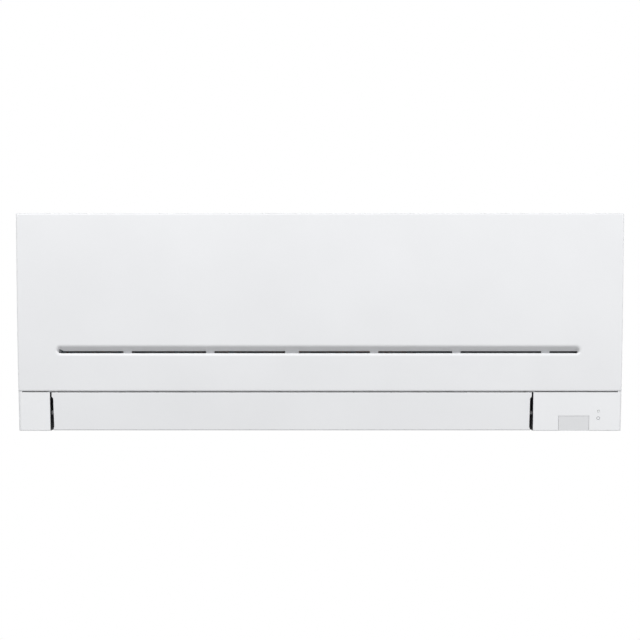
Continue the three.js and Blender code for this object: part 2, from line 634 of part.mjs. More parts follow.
function pipeClamp() {
  const [x0, x1] = [CLAMP_X - CLAMP_WIDTH / 2, CLAMP_X + CLAMP_WIDTH / 2];
  const body = block(x0, x1, PIPE_D - 9, RECESS_DEPTH - CLEAR, LIQUID_Z - 7, GAS_Z + 8);
  return cut(body, rodX(x0 - 1, x1 + 1, PIPE_D, GAS_Z, GAS_RADIUS + CLEAR, 8),
    rodX(x0 - 1, x1 + 1, PIPE_D, LIQUID_Z, LIQUID_RADIUS + CLEAR, 8));
}

const SPIGOT_Z = BOTTOM + SPIGOT_RISE;
function drainSpigot() {
  const [outer, inner, length] = SPIGOT;
  const base = RECESS_DEPTH - CLEAR;
  const tube = rod(at(SPIGOT_X, base - length, SPIGOT_Z), at(SPIGOT_X, base, SPIGOT_Z), outer, 12);
  const collar = rod(at(SPIGOT_X, base - 2, SPIGOT_Z), at(SPIGOT_X, base, SPIGOT_Z), outer + 2.5, 12);
  const bore = rod(at(SPIGOT_X, base - length - 1, SPIGOT_Z), at(SPIGOT_X, base + 1, SPIGOT_Z), inner, 12);
  return cut(join(tube, collar), bore);
}

// ---- Rear chassis ----
const POCKET_TOP = BOTTOM + POCKET_DEPTH + POCKET_WALL;
const SCREWS_X = [-SIDE + SCREW_INSET[0], SIDE - SCREW_INSET[1]];
const MOTOR_CRADLE_RADIUS = MOTOR_RADIUS + MOTOR_RING + CLEAR;
const RECESS_Z = BOTTOM + RECESS_TOP;

function bulkheadOutline() {
  const filterInner = FILTER_INSET + FILTER_WALL + RAIL_THICKNESS + 2 * CLEAR;
  const top = TOP - FILTER_TOP_DROP - FILTER_WALL - RAIL_THICKNESS - 2 * CLEAR;
  const shoulder = FAN_Z + BULKHEAD_SHOULDER;
  return [[CHASSIS_BACK, RECESS_Z - WALL], [CHASSIS_BACK, top], [COIL_INNER_D, top],
    [COIL_D + 2, shoulder], [front(COIL_FOOT_Z) - filterInner, COIL_FOOT_Z], [PIVOT_D + 4, VANE_TOP + 4],
    [LIP[0], BOTTOM], [RECESS_DEPTH, BOTTOM], [RECESS_DEPTH, RECESS_Z - WALL]];
}

function rearChassis() {
  const inner = CHASSIS_BACK + WALL;
  const deep = RECESS_DEPTH + WALL;
  const back = block(-CHASSIS_X, CHASSIS_X, CHASSIS_BACK, inner, RECESS_Z - WALL, TOP - FILTER_TOP_DROP - 1);
  const shelf = block(-CHASSIS_X, CHASSIS_X, CHASSIS_BACK, deep, RECESS_Z - WALL, RECESS_Z);
  const recess = block(-CHASSIS_X, CHASSIS_X, RECESS_DEPTH, deep, POCKET_TOP + CLEAR, RECESS_Z);
  const recessFoot = block(...OUTLET_X, RECESS_DEPTH, deep, BOTTOM, POCKET_TOP + WALL);
  const lipBottom = [sweepD(BOTTOM), BOTTOM];
  const bottom = prism([[RECESS_DEPTH, BOTTOM], lipBottom, LIP, [RECESS_DEPTH, BOTTOM + WALL]], ...OUTLET_X);
  const guide = prism(ribbon(guideLine(), WALL), ...OUTLET_X);
  const start = guideLine()[0];
  const trough = REAR_FOOT[1] - REAR_TROUGH;
  const shield = [REAR_FOOT[0] + 8, REAR_FOOT[1] - 6];
  const tongue = prism([[start[0] - WALL, start[1] - 2], start, shield, [shield[0] - WALL, shield[1]]],
    ...OUTLET_X);
  const gutter = prism([[CHASSIS_BACK, trough], [start[0] + 4, trough - 3],
    [start[0] + 4, trough - 3 - WALL], [CHASSIS_BACK, trough - WALL]], ...OUTLET_X);
  const sweep = rodX(OUTLET_X[0] - 1, OUTLET_X[1] + 1, PIVOT_D, PIVOT_Z, SWEEP_RADIUS + 1.5, 32);
  const bulkheads = [0, 1].map((i) => prism(bulkheadOutline(), OUTLET_X[i] + (i ? -WALL : 0),
    OUTLET_X[i] + (i ? 0 : WALL)).subtract(sweep));
  const seat = BEARING_RADIUS + BEARING_MOUNT;
  const boss = rodX(OUTLET_X[0] - BEARING_WIDTH, OUTLET_X[0] + 1, FAN_D, FAN_Z, seat + 3, 16);
  const cradleHalf = MOTOR_CRADLE_RADIUS + MOTOR_FLANGE;
  const cradles = RINGS_X.map((x) => block(x, x + MOTOR_RING_WIDTH, CHASSIS_BACK + 1, FAN_D - 2,
    FAN_Z - cradleHalf, FAN_Z + cradleHalf));
  const footZ = POCKET_TOP + CLEAR;
  const feet = [[-CHASSIS_X, OUTLET_X[0] + 1], [OUTLET_X[1] - 1, SCREWS_X[1] + 12]]
    .map(([x0, x1]) => block(x0, x1, RECESS_DEPTH, SCREW_D + 10, footZ, footZ + WALL));
  const screwBosses = SCREWS_X.map((x) => rod(at(x, SCREW_D, footZ), at(x, SCREW_D, POCKET_TOP + 16),
    SCREW_RADIUS + 2.6, 10));
  const lugFront = CHASSIS_BACK - 1 - PLATE - CLEAR;
  const lugFoot = HOOK_Z + PLATE + CLEAR;
  const lug = [[CHASSIS_BACK + 1, HOOK_Z + 12], [CHASSIS_BACK + 1, HOOK_Z + 14.5],
    [PLATE + 2, HOOK_Z + 14.5], [PLATE + 2, lugFoot], [lugFront, lugFoot], [lugFront, HOOK_Z + 12]];
  const lugs = HOOKS.map((x) => prism(lug, x - HOOK_WIDTH / 2 + 2, x + HOOK_WIDTH / 2 - 2));
  const pads = [-HOOK_X, HOOK_X].map((x) => block(x - 12, x + 12, PLATE + CLEAR, CHASSIS_BACK + 1,
    RECESS_Z + 4, RECESS_Z + 14));
  const body = join(back, shelf, recess, recessFoot, bottom, guide, tongue, gutter, ...bulkheads, boss,
    ...cradles, ...feet, ...screwBosses, ...lugs, ...pads);
  const bearing = rodX(-SIDE, OUTLET_X[0] + WALL + 1, FAN_D, FAN_Z, seat + CLEAR, 16);
  const motorHole = rodX(OUTLET_X[1] - WALL - 1, OUTLET_X[1] + 1, FAN_D, FAN_Z, SHAFT_RADIUS + 2, 12);
  const cradleHole = rodX(OUTLET_X[1] + 1, SIDE, FAN_D, FAN_Z, MOTOR_CRADLE_RADIUS, 24);
  const pipeHoles = [[RUNS[0], LIQUID_RADIUS], [RUNS[RUNS.length - 1], GAS_RADIUS]]
    .map(([run, radius]) => rodX(OUTLET_X[1] - WALL - 1, OUTLET_X[1] + 1, ...run, radius + 1, 8));
  const pipeNotch = block(GAS_X - 8, LIQUID_X + 7, CHASSIS_BACK - 1, RECESS_DEPTH, RECESS_Z - WALL - 1,
    RECESS_Z + 1);
  const screwHoles = SCREWS_X.map((x) => rod(at(x, SCREW_D, BOTTOM), at(x, SCREW_D, POCKET_TOP + 14),
    SCREW_RADIUS + CLEAR, 8));
  const motorHoles = LOUVRE_SETS.map((xs) => rod(louvrePoint(xs[0], 0, 2), louvrePoint(xs[0], 0, -2 * WALL),
    LOUVRE_PIN + PIN_PLAY, 8));
  return cut(body, bearing, motorHole, cradleHole, ...pipeHoles, pipeNotch, ...screwHoles, ...motorHoles);
}

// ---- Drain pan: the front trough, whose underside is the duct's upper wall ----
const panFront = (z) => front(z) - CASING_INSET - WALL - 0.5;
function drainPan() {
  const foot = COIL_FOOT_Z;
  const tongueAngle = -radians(TONGUE_ANGLE);
  const reach = FAN_RADIUS + TONGUE_GAP;
  const [tip] = arc(FAN_D, FAN_Z, reach, tongueAngle, tongueAngle, 1);
  const [upper] = arc(FAN_D, FAN_Z, reach + 0.4, tongueAngle / 2, tongueAngle / 2, 1);
  const floor = foot - PAN_DEPTH;
  const low = VANE_TOP + 4;
  const rim = 2;
  const points = [tip, upper, [upper[0] + PAN_WALL, upper[1]], [COIL_INNER_D - 2, floor + 2],
    [panFront(floor) - rim, floor], [panFront(foot) - rim, foot - 1], [panFront(foot), foot - 1],
    [panFront(floor), floor], [panFront(low), low], [panFront(low) - rim, low], [tip[0] + 5.6, floor - 2]];
  const shell = prism(points, DUCT_X[0] + CLEAR, DUCT_X[1] - CLEAR);
  const rests = [0.25, 0.5, 0.75].map((t) => {
    const x = FIN_X[0] + (FIN_X[1] - FIN_X[0]) * t;
    return block(x - 2, x + 2, COIL_INNER_D - 1, COIL_D - 1, floor - 0.5, foot - CLEAR);
  });
  return join(shell, ...rests);
}

// ---- Front casing ----
const FILTER_X = [FAN_X[0], FAN_X[1]];
const FILTER_MIDDLE = (FILTER_X[0] + FILTER_X[1]) / 2;
const casingFront = (z) => front(z) - CASING_INSET;
const HINGES = [-HINGE_X, HINGE_X];

// The filters' outer line, from the foot of the front up and back over the top, moved in by a distance.
function filterLine(inward) {
  const knee = TOP - FILTER_TOP_DROP - FILTER_BEND;
  const up = heights(BOTTOM + FILTER_FOOT, knee).map((z) => [front(z) - FILTER_INSET - inward, z]);
  const centre = [front(knee) - FILTER_INSET - FILTER_BEND, knee];
  const bend = arc(...centre, FILTER_BEND - inward, 0, Math.PI / 2, 6).slice(1);
  return [...up, ...bend, [FILTER_REAR, TOP - FILTER_TOP_DROP - inward]];
}

// A rail under a filter's edge, and the web that joins it to the casing's front and top.
function filterRail(x0, x1, web0, web1) {
  const under = filterLine(FILTER_WALL + CLEAR);
  const rail = prism([...under, ...filterLine(FILTER_WALL + CLEAR + RAIL_THICKNESS).reverse()], x0, x1);
  const outer = [...heights(BOTTOM + FILTER_FOOT, TOP - WALL).map((z) => [casingFront(z) - 1, z]),
    [FILTER_REAR, TOP - WALL]];
  return join(rail, prism([...outer, ...filterLine(FILTER_WALL + 1).reverse()], web0, web1));
}

function screwPocket(x) {
  const [w, d] = CAP_SIZE.map((s) => s / 2 + POCKET_WALL);
  return block(x - w, x + w, SCREW_D - d, SCREW_D + d, BOTTOM + WALL / 2, POCKET_TOP);
}

function screwPocketHollow(x) {
  const [w, d] = CAP_SIZE.map((s) => s / 2 + CLEAR);
  const floor = POCKET_TOP - POCKET_WALL;
  const pinD = SCREW_D - CAP_SIZE[1] / 2 + CAP_PIN;
  return [block(x - w, x + w, SCREW_D - d - 2 * CLEAR, SCREW_D + d, BOTTOM - 1, floor),
    rod(at(x, SCREW_D, floor - 1), at(x, SCREW_D, POCKET_TOP + 1), SCREW_RADIUS + CLEAR, 8),
    rodX(x - w - 1.5, x + w + 1.5, pinD, BOTTOM + CAP_SIZE[2] / 2, CAP_PIN + CLEAR, 6)];
}

function frontCasing() {
  const rear = REAR_GAP;
  const thin = 1.5;
  const upper = bowedBlock(-SIDE, SIDE, rear, CASING_INSET, VANE_TOP, TOP, EDGE_RADIUS, EDGE_RADIUS);
  const upperHollow = bowedBlock(-SIDE + WALL, SIDE - WALL, rear - 1, CASING_INSET + WALL, VANE_TOP - 1,
    TOP - WALL, thin, thin);
  const caps = [bowedBlock(-SIDE, OPEN_X[0], rear, 0, BOTTOM, VANE_TOP, EDGE_RADIUS, 0.8),
    bowedBlock(OPEN_X[1], SIDE, rear, 0, BOTTOM, VANE_TOP, 0.8, EDGE_RADIUS)];
  const capSpans = [[-SIDE + WALL, OPEN_X[0] - WALL], [OPEN_X[1] + WALL, SIDE - WALL]];
  const hollows = capSpans.flatMap(([x0, x1]) => [
    bowedBlock(x0, x1, rear - 1, WALL, BOTTOM + WALL, VANE_TOP - WALL, thin, thin),
    bowedBlock(x0, x1, rear - 1, CASING_INSET + 2 * WALL, BOTTOM + WALL, VANE_TOP, thin, thin)]);
  const stepBack = (z) => front(z) - 2 * CASING_INSET;
  const steps = [[-SIDE, -SIDE + SEAM_STEP, EDGE_RADIUS, 0.5], [SIDE - SEAM_STEP, SIDE, 0.5, EDGE_RADIUS]]
    .map(([x0, x1, ...radii]) => bowedBlock(x0, x1, stepBack, 0, VANE_TOP, SEAM - CLEAR, ...radii));
  const lip = block(OPEN_X[0] - WALL, OPEN_X[1] + WALL, casingFront(SEAM) - 1,
    front(SEAM) - PANEL_BOTTOM_RETURN - 1, VANE_TOP, VANE_TOP + 2);
  const [side, wall, face] = GRILLE_INSET;
  const [x, d0, d1] = [SIDE - side, wall, DEPTH - face];
  const ledge = block(-x - LEDGE, x + LEDGE, d0 - LEDGE, d1 + LEDGE, TOP - 2 * WALL, TOP - 1);
  const opening = [block(-x, x, d0, d1, TOP - WALL - CLEAR, TOP + 1),
    block(-x + LEDGE, x - LEDGE, d0 + LEDGE, d1 - LEDGE, TOP - 3 * WALL, TOP + 1)];
  const cheeks = HINGES.map((hx) => {
    const out = Math.sign(hx);
    const ends = [HINGE_ARM / 2 + CLEAR, HINGE_ARM / 2 + CLEAR + 3].map((reach) => hx + out * reach);
    return block(Math.min(...ends), Math.max(...ends), HINGE_D - 7, HINGE_D + 6, HINGE_Z - 6, TOP - 1);
  });
  const hingeCuts = HINGES.flatMap((hx) => [
    block(hx - HINGE_ARM / 2 - CLEAR, hx + HINGE_ARM / 2 + CLEAR, HINGE_D - 5, DEPTH, HINGE_Z - 11, TOP + 1),
    rodX(hx - 12, hx + 12, HINGE_D, HINGE_Z, HINGE_PIN_RADIUS + CLEAR, 10)]);
  const window = block(...FILTER_X, COIL_D, DEPTH, BOTTOM + FRONT_OPENING[0], TOP - FRONT_OPENING[1]);
  const lap = RAIL_LAP;
  const half = FILTER_GAP / 2 - CLEAR;
  const [left, middle, right] = [FILTER_X[0] - CLEAR, FILTER_MIDDLE, FILTER_X[1] + CLEAR];
  const rails = [
    filterRail(left - WALL, FILTER_X[0] + lap, left - WALL, left),
    filterRail(middle - half - lap, middle + half + lap, middle - half, middle + half),
    filterRail(FILTER_X[1] - lap, right + WALL, right, right + WALL)];
  const postZ = BOTTOM + DISPLAY_POST_RISE;
  const posts = [WINDOW_BOX[0] + 1, SIDE - DISPLAY_X[1] - 5].map((px) => rod(
    at(px, DISPLAY_D + BOARD + CLEAR, postZ), at(px, front(postZ) - 1, postZ), 2.2, 8));
  const shell = cut(join(upper, ...caps), upperHollow, ...hollows);
  const innerSide = [OPEN_X[0] - WALL - 1, OPEN_X[1] + WALL + 1];
  const crossing = block(...innerSide, rear - 1, SCREW_D + 12, BOTTOM - 1, VANE_TOP);
  const body = join(cut(shell, crossing), ...steps, lip, cut(ledge, ...opening), ...cheeks, ...posts,
    ...SCREWS_X.map(screwPocket));
  const opened = join(cut(body, window, ...opening), ...rails);
  const vaneHoles = rodX(...innerSide, PIVOT_D, PIVOT_Z, PIVOT_RADIUS + CLEAR, 12);
  const lamp = rod(at(LAMP_X, DISPLAY_D, LAMP_Z), at(LAMP_X, DEPTH, LAMP_Z), LAMP_RADIUS + CLEAR, 10);
  const button = rod(at(BUTTON_X, DISPLAY_D, BUTTON_Z), at(BUTTON_X, DEPTH, BUTTON_Z),
    BUTTON_RADIUS + CLEAR, 12);
  return cut(opened, ...opening, ...hingeCuts, vaneHoles, lamp, button, windowOpening(),
    ...SCREWS_X.flatMap(screwPocketHollow));
}

// ---- Intake grille ----
function intakeGrille() {
  const [side, wall, face] = GRILLE_INSET;
  const [x, d0, d1] = [SIDE - side - CLEAR, wall + CLEAR, DEPTH - face - CLEAR];
  const [across, back] = GRILLE_CELLS;
  const plate = block(-x, x, d0, d1, TOP - WALL, TOP);
  const width = (2 * (x - GRILLE_RIM) - (across - 1) * GRILLE_BAR) / across;
  const depth = (d1 - d0 - 2 * GRILLE_RIM - (back - 1) * GRILLE_BAR) / back;
  const cells = [];
  for (let i = 0; i < across; i += 1) {
    for (let j = 0; j < back; j += 1) {
      const x0 = -x + GRILLE_RIM + i * (width + GRILLE_BAR);
      const d = d0 + GRILLE_RIM + j * (depth + GRILLE_BAR);
      cells.push(block(x0, x0 + width, d, d + depth, TOP - WALL - 1, TOP + 1));
    }
  }
  return cut(plate, ...cells);
}

// ---- Air filters: curved frames with a window for each patch of net ----
function airFilter(x0, x1) {
  const frame = prism([...filterLine(0), ...filterLine(FILTER_WALL).reverse()], x0, x1);
  const [across, up, back] = FILTER_WINDOWS;
  const width = (x1 - x0 - (across + 1) * FILTER_RIB) / across;
  const knee = TOP - FILTER_TOP_DROP - FILTER_BEND;
  const foot = BOTTOM + FILTER_FOOT;
  const tall = (knee - foot - (up + 1) * FILTER_RIB) / up;
  const topFront = front(knee) - FILTER_INSET - FILTER_BEND;
  const deep = (topFront - FILTER_REAR - (back + 1) * FILTER_RIB) / back;
  const windows = [];
  for (let i = 0; i < across; i += 1) {
    const left = x0 + FILTER_RIB + i * (width + FILTER_RIB);
    for (let j = 0; j < up; j += 1) {
      const z = foot + FILTER_RIB + j * (tall + FILTER_RIB);
      windows.push(block(left, left + width, COIL_D, DEPTH, z, z + tall));
    }
    for (let j = 0; j < back; j += 1) {
      const d = FILTER_REAR + FILTER_RIB + j * (deep + FILTER_RIB);
      windows.push(block(left, left + width, d, d + deep, knee + 1, TOP));
    }
  }
  return cut(frame, ...windows);
}

// ---- Front panel: a shallow tray with the intake slot and two hinge arms ----
function stadium(x0, x1, z0, z1, steps) {
  const radius = (z1 - z0) / 2;
  const middle = (z0 + z1) / 2;
  return [
    ...arc(x1 - radius, middle, radius, -Math.PI / 2, Math.PI / 2, steps),
    ...arc(x0 + radius, middle, radius, Math.PI / 2, (3 * Math.PI) / 2, steps),
  ];
}

function slotCuts(face, roof, x0, x1, low, high) {
  const gapTop = low + SLOT_GAP;
  const outline = slab(stadium(x0, x1, low, high, 6), roof - WALL, face + WALL);
  const recess = prism([[face + WALL, high], [face, high], [roof, gapTop], [roof, low],
    [face + WALL, low]], x0, x1).intersect(outline);
  const edges = [x0, ...SLOT_BRIDGES.flatMap(([t, w]) => {
    const x = x0 + (x1 - x0) * t;
    return [x - w / 2, x + w / 2];
  }), x1];
  const slits = [];
  for (let i = 0; i < edges.length; i += 2) {
    const first = i === 0 ? SLOT_HEIGHT / 2 : 0;
    const final = i + 2 === edges.length ? SLOT_HEIGHT / 2 : 0;
    slits.push(block(edges[i] + first, edges[i + 1] - final, roof - SLOT_SHELL - WALL, roof + 0.5,
      low, gapTop));
  }
  return [recess, ...slits];
}

function hingeArm(x) {
  const half = HINGE_ARM / 2;
  const face = DEPTH - PANEL_WALL / 2;
  const plate = prism([[HINGE_D - 3, HINGE_Z - 3], [HINGE_D - 3, HINGE_Z + 2.5],
    [HINGE_D + 2, TOP - PANEL_WALL], [face, TOP - PANEL_WALL / 2], [face, HINGE_Z - 8]], x - half, x + half);
  const ends = [x, x + Math.sign(x) * (half + 2.8)];
  return join(plate, rodX(Math.min(...ends), Math.max(...ends), HINGE_D, HINGE_Z, HINGE_PIN_RADIUS, 10));
}

function frontPanel() {
  const back = (z) => front(z) - PANEL_RETURN;
  const tray = bowedBlock(-SIDE, SIDE, back, 0, SEAM, TOP, EDGE_RADIUS, EDGE_RADIUS);
  const hollow = bowedBlock(-SIDE + PANEL_WALL, SIDE - PANEL_WALL, (z) => back(z) - WALL, PANEL_WALL,
    SEAM + PANEL_WALL, TOP - PANEL_WALL, EDGE_RADIUS / 2, EDGE_RADIUS / 2);
  const foot = front(SEAM);
  const shorten = block(-SIDE + PANEL_WALL, SIDE - PANEL_WALL, foot - 2 * PANEL_RETURN,
    foot - PANEL_BOTTOM_RETURN, SEAM - WALL, SEAM + 2 * PANEL_WALL);
  const high = TOP - SLOT_TOP_DROP;
  const low = high - SLOT_HEIGHT;
  const face = front((high + low) / 2);
  const roof = face - SLOT_DEPTH;
  const [x0, x1] = [-SIDE + SLOT_INSET[0], SIDE - SLOT_INSET[1]];
  const rear = roof - SLOT_SHELL;
  const shell = prism([[face - 1.5, high + SLOT_SHELL], [rear, low + SLOT_GAP + SLOT_SHELL],
    [rear, low - SLOT_SHELL], [face - 1.5, low - SLOT_SHELL]], x0 - SLOT_SHELL, x1 + SLOT_SHELL);
  return cut(join(cut(tray, hollow, shorten), shell, ...HINGES.map(hingeArm)),
    ...slotCuts(face, roof, x0, x1, low, high));
}

// ---- Horizontal vane: a curved plate on ribs that swing about its pivot line ----
// The supports stand midway between the second and the third louvre from the middle.
const SUPPORTS_X = [-1, 1].map((side) => DUCT_MIDDLE
  + side * (LOUVRE_MIDDLE_GAP / 2 + 1.5 * LOUVRE_PITCH));

function vaneRib(x, hub) {
  const z0 = PIVOT_Z - VANE_RIB_SPAN / 2;
  const z1 = PIVOT_Z + VANE_RIB_SPAN / 2;
  const plate = prism([[front(z0) - 1, z0], [front(z1) - 1, z1], [PIVOT_D, PIVOT_Z + PIVOT_HUB],
    [PIVOT_D, PIVOT_Z - PIVOT_HUB]], x, x + VANE_RIB);
  return join(plate, rodX(x, x + VANE_RIB, PIVOT_D, PIVOT_Z, hub, 12));
}

function horizontalVane() {
  const low = BOTTOM + VANE_CORNER;
  const face = heights(low, VANE_TOP).reverse().map((z) => [front(z), z]);
  const corner = [front(low) - VANE_CORNER, low];
  const outer = [...face, ...arc(...corner, VANE_CORNER, 0, -Math.PI / 2, 4).slice(1),
    [front(BOTTOM) - VANE_LIP, BOTTOM]];
  const ends = [OPEN_X[0] + VANE_END_GAP[0], OPEN_X[1] - VANE_END_GAP[0]];
  const taper = VANE_END_GAP[1] - VANE_END_GAP[0];
  const plate = prism(ribbon(outer, VANE_WALL), ...ends);
  const trims = [1, -1].map((side, i) => slab([[ends[i], VANE_TOP], [ends[i] + side * taper, BOTTOM - 1],
    [ends[i] - side * 5, BOTTOM - 1], [ends[i] - side * 5, VANE_TOP]], PIVOT_D - SWEEP_RADIUS, DEPTH));
  const inset = 1 + taper;
  const endRibs = [ends[0] + inset, ends[1] - inset - VANE_RIB].map((x) => vaneRib(x, PIVOT_HUB));
  const half = SUPPORT_WIDTH / 2 + CLEAR;
  const middleRibs = SUPPORTS_X.flatMap((x) => [vaneRib(x - half - VANE_RIB, PIVOT_HUB),
    vaneRib(x + half, PIVOT_HUB), rodX(x - half - 1, x + half + 1, PIVOT_D, PIVOT_Z, PIVOT_RADIUS, 12)]);
  const pins = [[OPEN_X[0] - WALL + CLEAR, ends[0] + inset + 1],
    [ends[1] - inset - 1, OPEN_X[1] + WALL + 6]]
    .map(([x0, x1]) => rodX(x0, x1, PIVOT_D, PIVOT_Z, PIVOT_RADIUS, 12));
  return join(cut(plate, ...trims), ...endRibs, ...middleRibs, ...pins);
}

function vaneSupport(x) {
  const half = SUPPORT_WIDTH / 2;
  const seat = PIVOT_D - 5;
  const underside = VANE_TOP + 10;
  const arm = prism([[PIVOT_D - 4.5, PIVOT_Z], [PIVOT_D + 4.5, PIVOT_Z], [seat + 5, underside - 8],
    [seat - 7, underside - 1]], x - half, x + half);
  const hub = rodX(x - half, x + half, PIVOT_D, PIVOT_Z, PIVOT_HUB, 12);
  return cut(join(arm, hub), rodX(x - half - 1, x + half + 1, PIVOT_D, PIVOT_Z, PIVOT_RADIUS + CLEAR, 12));
}

function vaneMotor() {
  const [radius, length] = VANE_MOTOR;
  const x0 = OPEN_X[1] + WALL + CLEAR;
  const can = rodX(x0 + 1, x0 + length, PIVOT_D - 6, PIVOT_Z, radius, 16);
  const ears = block(x0, x0 + 2, PIVOT_D - 6 - radius - 4, PIVOT_D + radius - 2, PIVOT_Z - 4, PIVOT_Z + 4);
  const nose = rodX(x0, x0 + 4, PIVOT_D, PIVOT_Z, 5, 12);
  return cut(join(can, ears, nose), rodX(x0 - 1, x0 + 8, PIVOT_D, PIVOT_Z, PIVOT_RADIUS + CLEAR, 12));
}

// ---- Upright louvres: two sets on rails, each set linked by a tie bar and turned by a motor ----
const LOUVRE_SETS = [-1, 1].map((side) => Array.from({ length: LOUVRES_PER_SET }, (_, i) => DUCT_MIDDLE
  + side * (LOUVRE_MIDDLE_GAP / 2 + i * LOUVRE_PITCH)));
const louvreAt = (along, rise) => inDuct(LOUVRE_BACK - along, rise);
const louvrePoint = (x, along, rise) => at(x, ...louvreAt(along, rise));
const acrossDuct = (x, along, radius, [low, high]) => rod(louvrePoint(x, along, low),
  louvrePoint(x, along, high), radius, 6);

function louvre(x) {
  const [up, down] = LOUVRE_REACH;
  const [low, high] = LOUVRE_BAND;
  const half = LOUVRE_THICKNESS / 2;
  const blade = prism([[-up, low], [down, low], [down, high], [-up / 3, high], [-up, high * 0.72]].map(
    ([u, s]) => louvreAt(u, s)), x - half, x + half);
  return join(blade, acrossDuct(x, 0, LOUVRE_PIN, [CLEAR + 0.2, low + 2]),
    acrossDuct(x, -LINK_ARM, LINK_PIN, [LINK_BAND[0], low + 2]));
}

function leadingLouvre(x) {
  return join(louvre(x), acrossDuct(x, 0, LOUVRE_PIN, [-WALL - 5, CLEAR + 1]));
}

function louvreRail(xs) {
  const [x0, x1] = [Math.min(...xs) - RAIL_END, Math.max(...xs) + RAIL_END];
  const top = LINK_BAND[1];
  const bar = prism([[-RAIL_HALF, CLEAR], [RAIL_HALF, CLEAR], [RAIL_HALF, top], [-RAIL_HALF, top]]
    .map(([u, s]) => louvreAt(u, s)), x0, x1);
  return cut(bar, ...xs.map((x) => acrossDuct(x, 0, LOUVRE_PIN + PIN_PLAY, [-1, LOUVRE_BAND[0]])));
}

function tieBar(xs) {
  const [x0, x1] = [Math.min(...xs) - LINK_END, Math.max(...xs) + LINK_END];
  const [a, b] = [-LINK_ARM - LINK_HALF, -LINK_ARM + LINK_HALF];
  const bar = prism([[a, LINK_BAND[0]], [b, LINK_BAND[0]], [b, LINK_BAND[1]], [a, LINK_BAND[1]]]
    .map(([u, s]) => louvreAt(u, s)), x0, x1);
  return cut(bar, ...xs.map((x) => acrossDuct(x, -LINK_ARM, LINK_PIN + PIN_PLAY, [-1, LOUVRE_BAND[0]])));
}

function louvreMotor(x) {
  const [radius, length] = LOUVRE_MOTOR;
  const top = -WALL - CLEAR;
  const can = rod(louvrePoint(x, 0, top - length), louvrePoint(x, 0, top), radius, 16);
  return cut(can, acrossDuct(x, 0, LOUVRE_PIN + CLEAR, [top - 6, top + 1]));
}

// ---- Cross-flow fan, bearing and motor ----
function crossflowFan() {
  const [depth, thickness] = FAN_BLADE;
  const [x0, x1] = FAN_X;
  const blades = [];
  for (let i = 0; i < FAN_BLADES; i += 1) {
    const spacing = (2 * Math.PI) / FAN_BLADES;
    const outer = i * spacing;
    const line = [0, 0.5, 1].map((t) => {
      const radius = FAN_RADIUS - depth * t;
      const angle = outer + spacing * FAN_BLADE_LEAD * t * t;
      return [FAN_D + radius * Math.cos(angle), FAN_Z + radius * Math.sin(angle)];
    });
    blades.push(prism(ribbon(line, thickness), x0 + 1, x1 - 1));
  }
  const discs = [0, 1, 2, 3].map((i) => {
    const x = x0 + ((x1 - x0 - FAN_DISC) * i) / 3;
    const disc = rodX(x, x + FAN_DISC, FAN_D, FAN_Z, FAN_RADIUS - 0.6, 32);
    const bore = rodX(x - 1, x + FAN_DISC + 1, FAN_D, FAN_Z, FAN_RADIUS - depth - 3, 24);
    return i === 0 || i === 3 ? disc : cut(disc, bore);
  });
  const [bossRadius, bossLength] = FAN_BOSS;
  const stub = rodX(OUTLET_X[0] - BEARING_WIDTH + CLEAR, x0 + 1, FAN_D, FAN_Z, SHAFT_RADIUS, 12);
  const boss = rodX(x1 - bossLength, x1, FAN_D, FAN_Z, bossRadius, 12);
  const bore = rodX(x1 - bossLength + 2, x1 + 1, FAN_D, FAN_Z, SHAFT_RADIUS + CLEAR, 12);
  return cut(join(...blades, ...discs, stub, boss), bore);
}

const ring = (x0, x1, inner, outer, sides) => cut(rodX(x0, x1, FAN_D, FAN_Z, outer, sides),
  rodX(x0 - 1, x1 + 1, FAN_D, FAN_Z, inner, sides));

function fanMotor() {
  const [radius, length] = MOTOR_BOSS;
  const can = rodX(...MOTOR_X, FAN_D, FAN_Z, MOTOR_RADIUS, 24);
  const boss = rodX(MOTOR_X[0] - length + CLEAR, MOTOR_X[1] + length, FAN_D, FAN_Z, radius, 14);
  const shaft = rodX(FAN_X[1] - FAN_BOSS[1] + 3, MOTOR_X[0], FAN_D, FAN_Z, SHAFT_RADIUS, 12);
  return join(can, boss, shaft);
}

function motorClamp() {
  const [x0, x1] = [RINGS_X[0], RINGS_X[1] + MOTOR_RING_WIDTH];
  const inner = MOTOR_CRADLE_RADIUS;
  const frontHalf = block(x0, x1, FAN_D - 2 + CLEAR, DEPTH, BOTTOM, TOP);
  const half = ring(x0, x1, inner, inner + WALL, 24).intersect(frontHalf);
  const flanges = [1, -1].map((side) => {
    const [a, b] = [FAN_Z + side * (inner + 0.5), FAN_Z + side * (inner + MOTOR_FLANGE)];
    return block(x0, x1, FAN_D - 2 + CLEAR, FAN_D + 1.5, Math.min(a, b), Math.max(a, b));
  });
  return join(half, ...flanges);
}

// ---- Electrical box, boards, receiver window, lamp and button ----
const BOX_X = [OUTLET_X[1] + CLEAR, SIDE - WALL - 6];
const BOX_D = [DEPTH - BOX_INSET[0], DEPTH - BOX_INSET[1]];
const BOX_FOOT = BOTTOM + BOX_Z[0];
const BOX_HEAD = TOP - BOX_Z[1];
const BOARD_D = BOX_D[0] + BOX_WALL + 4;
const TERMINAL_TOP = BOX_FOOT + BOX_WALL + 1 + TERMINAL[2];

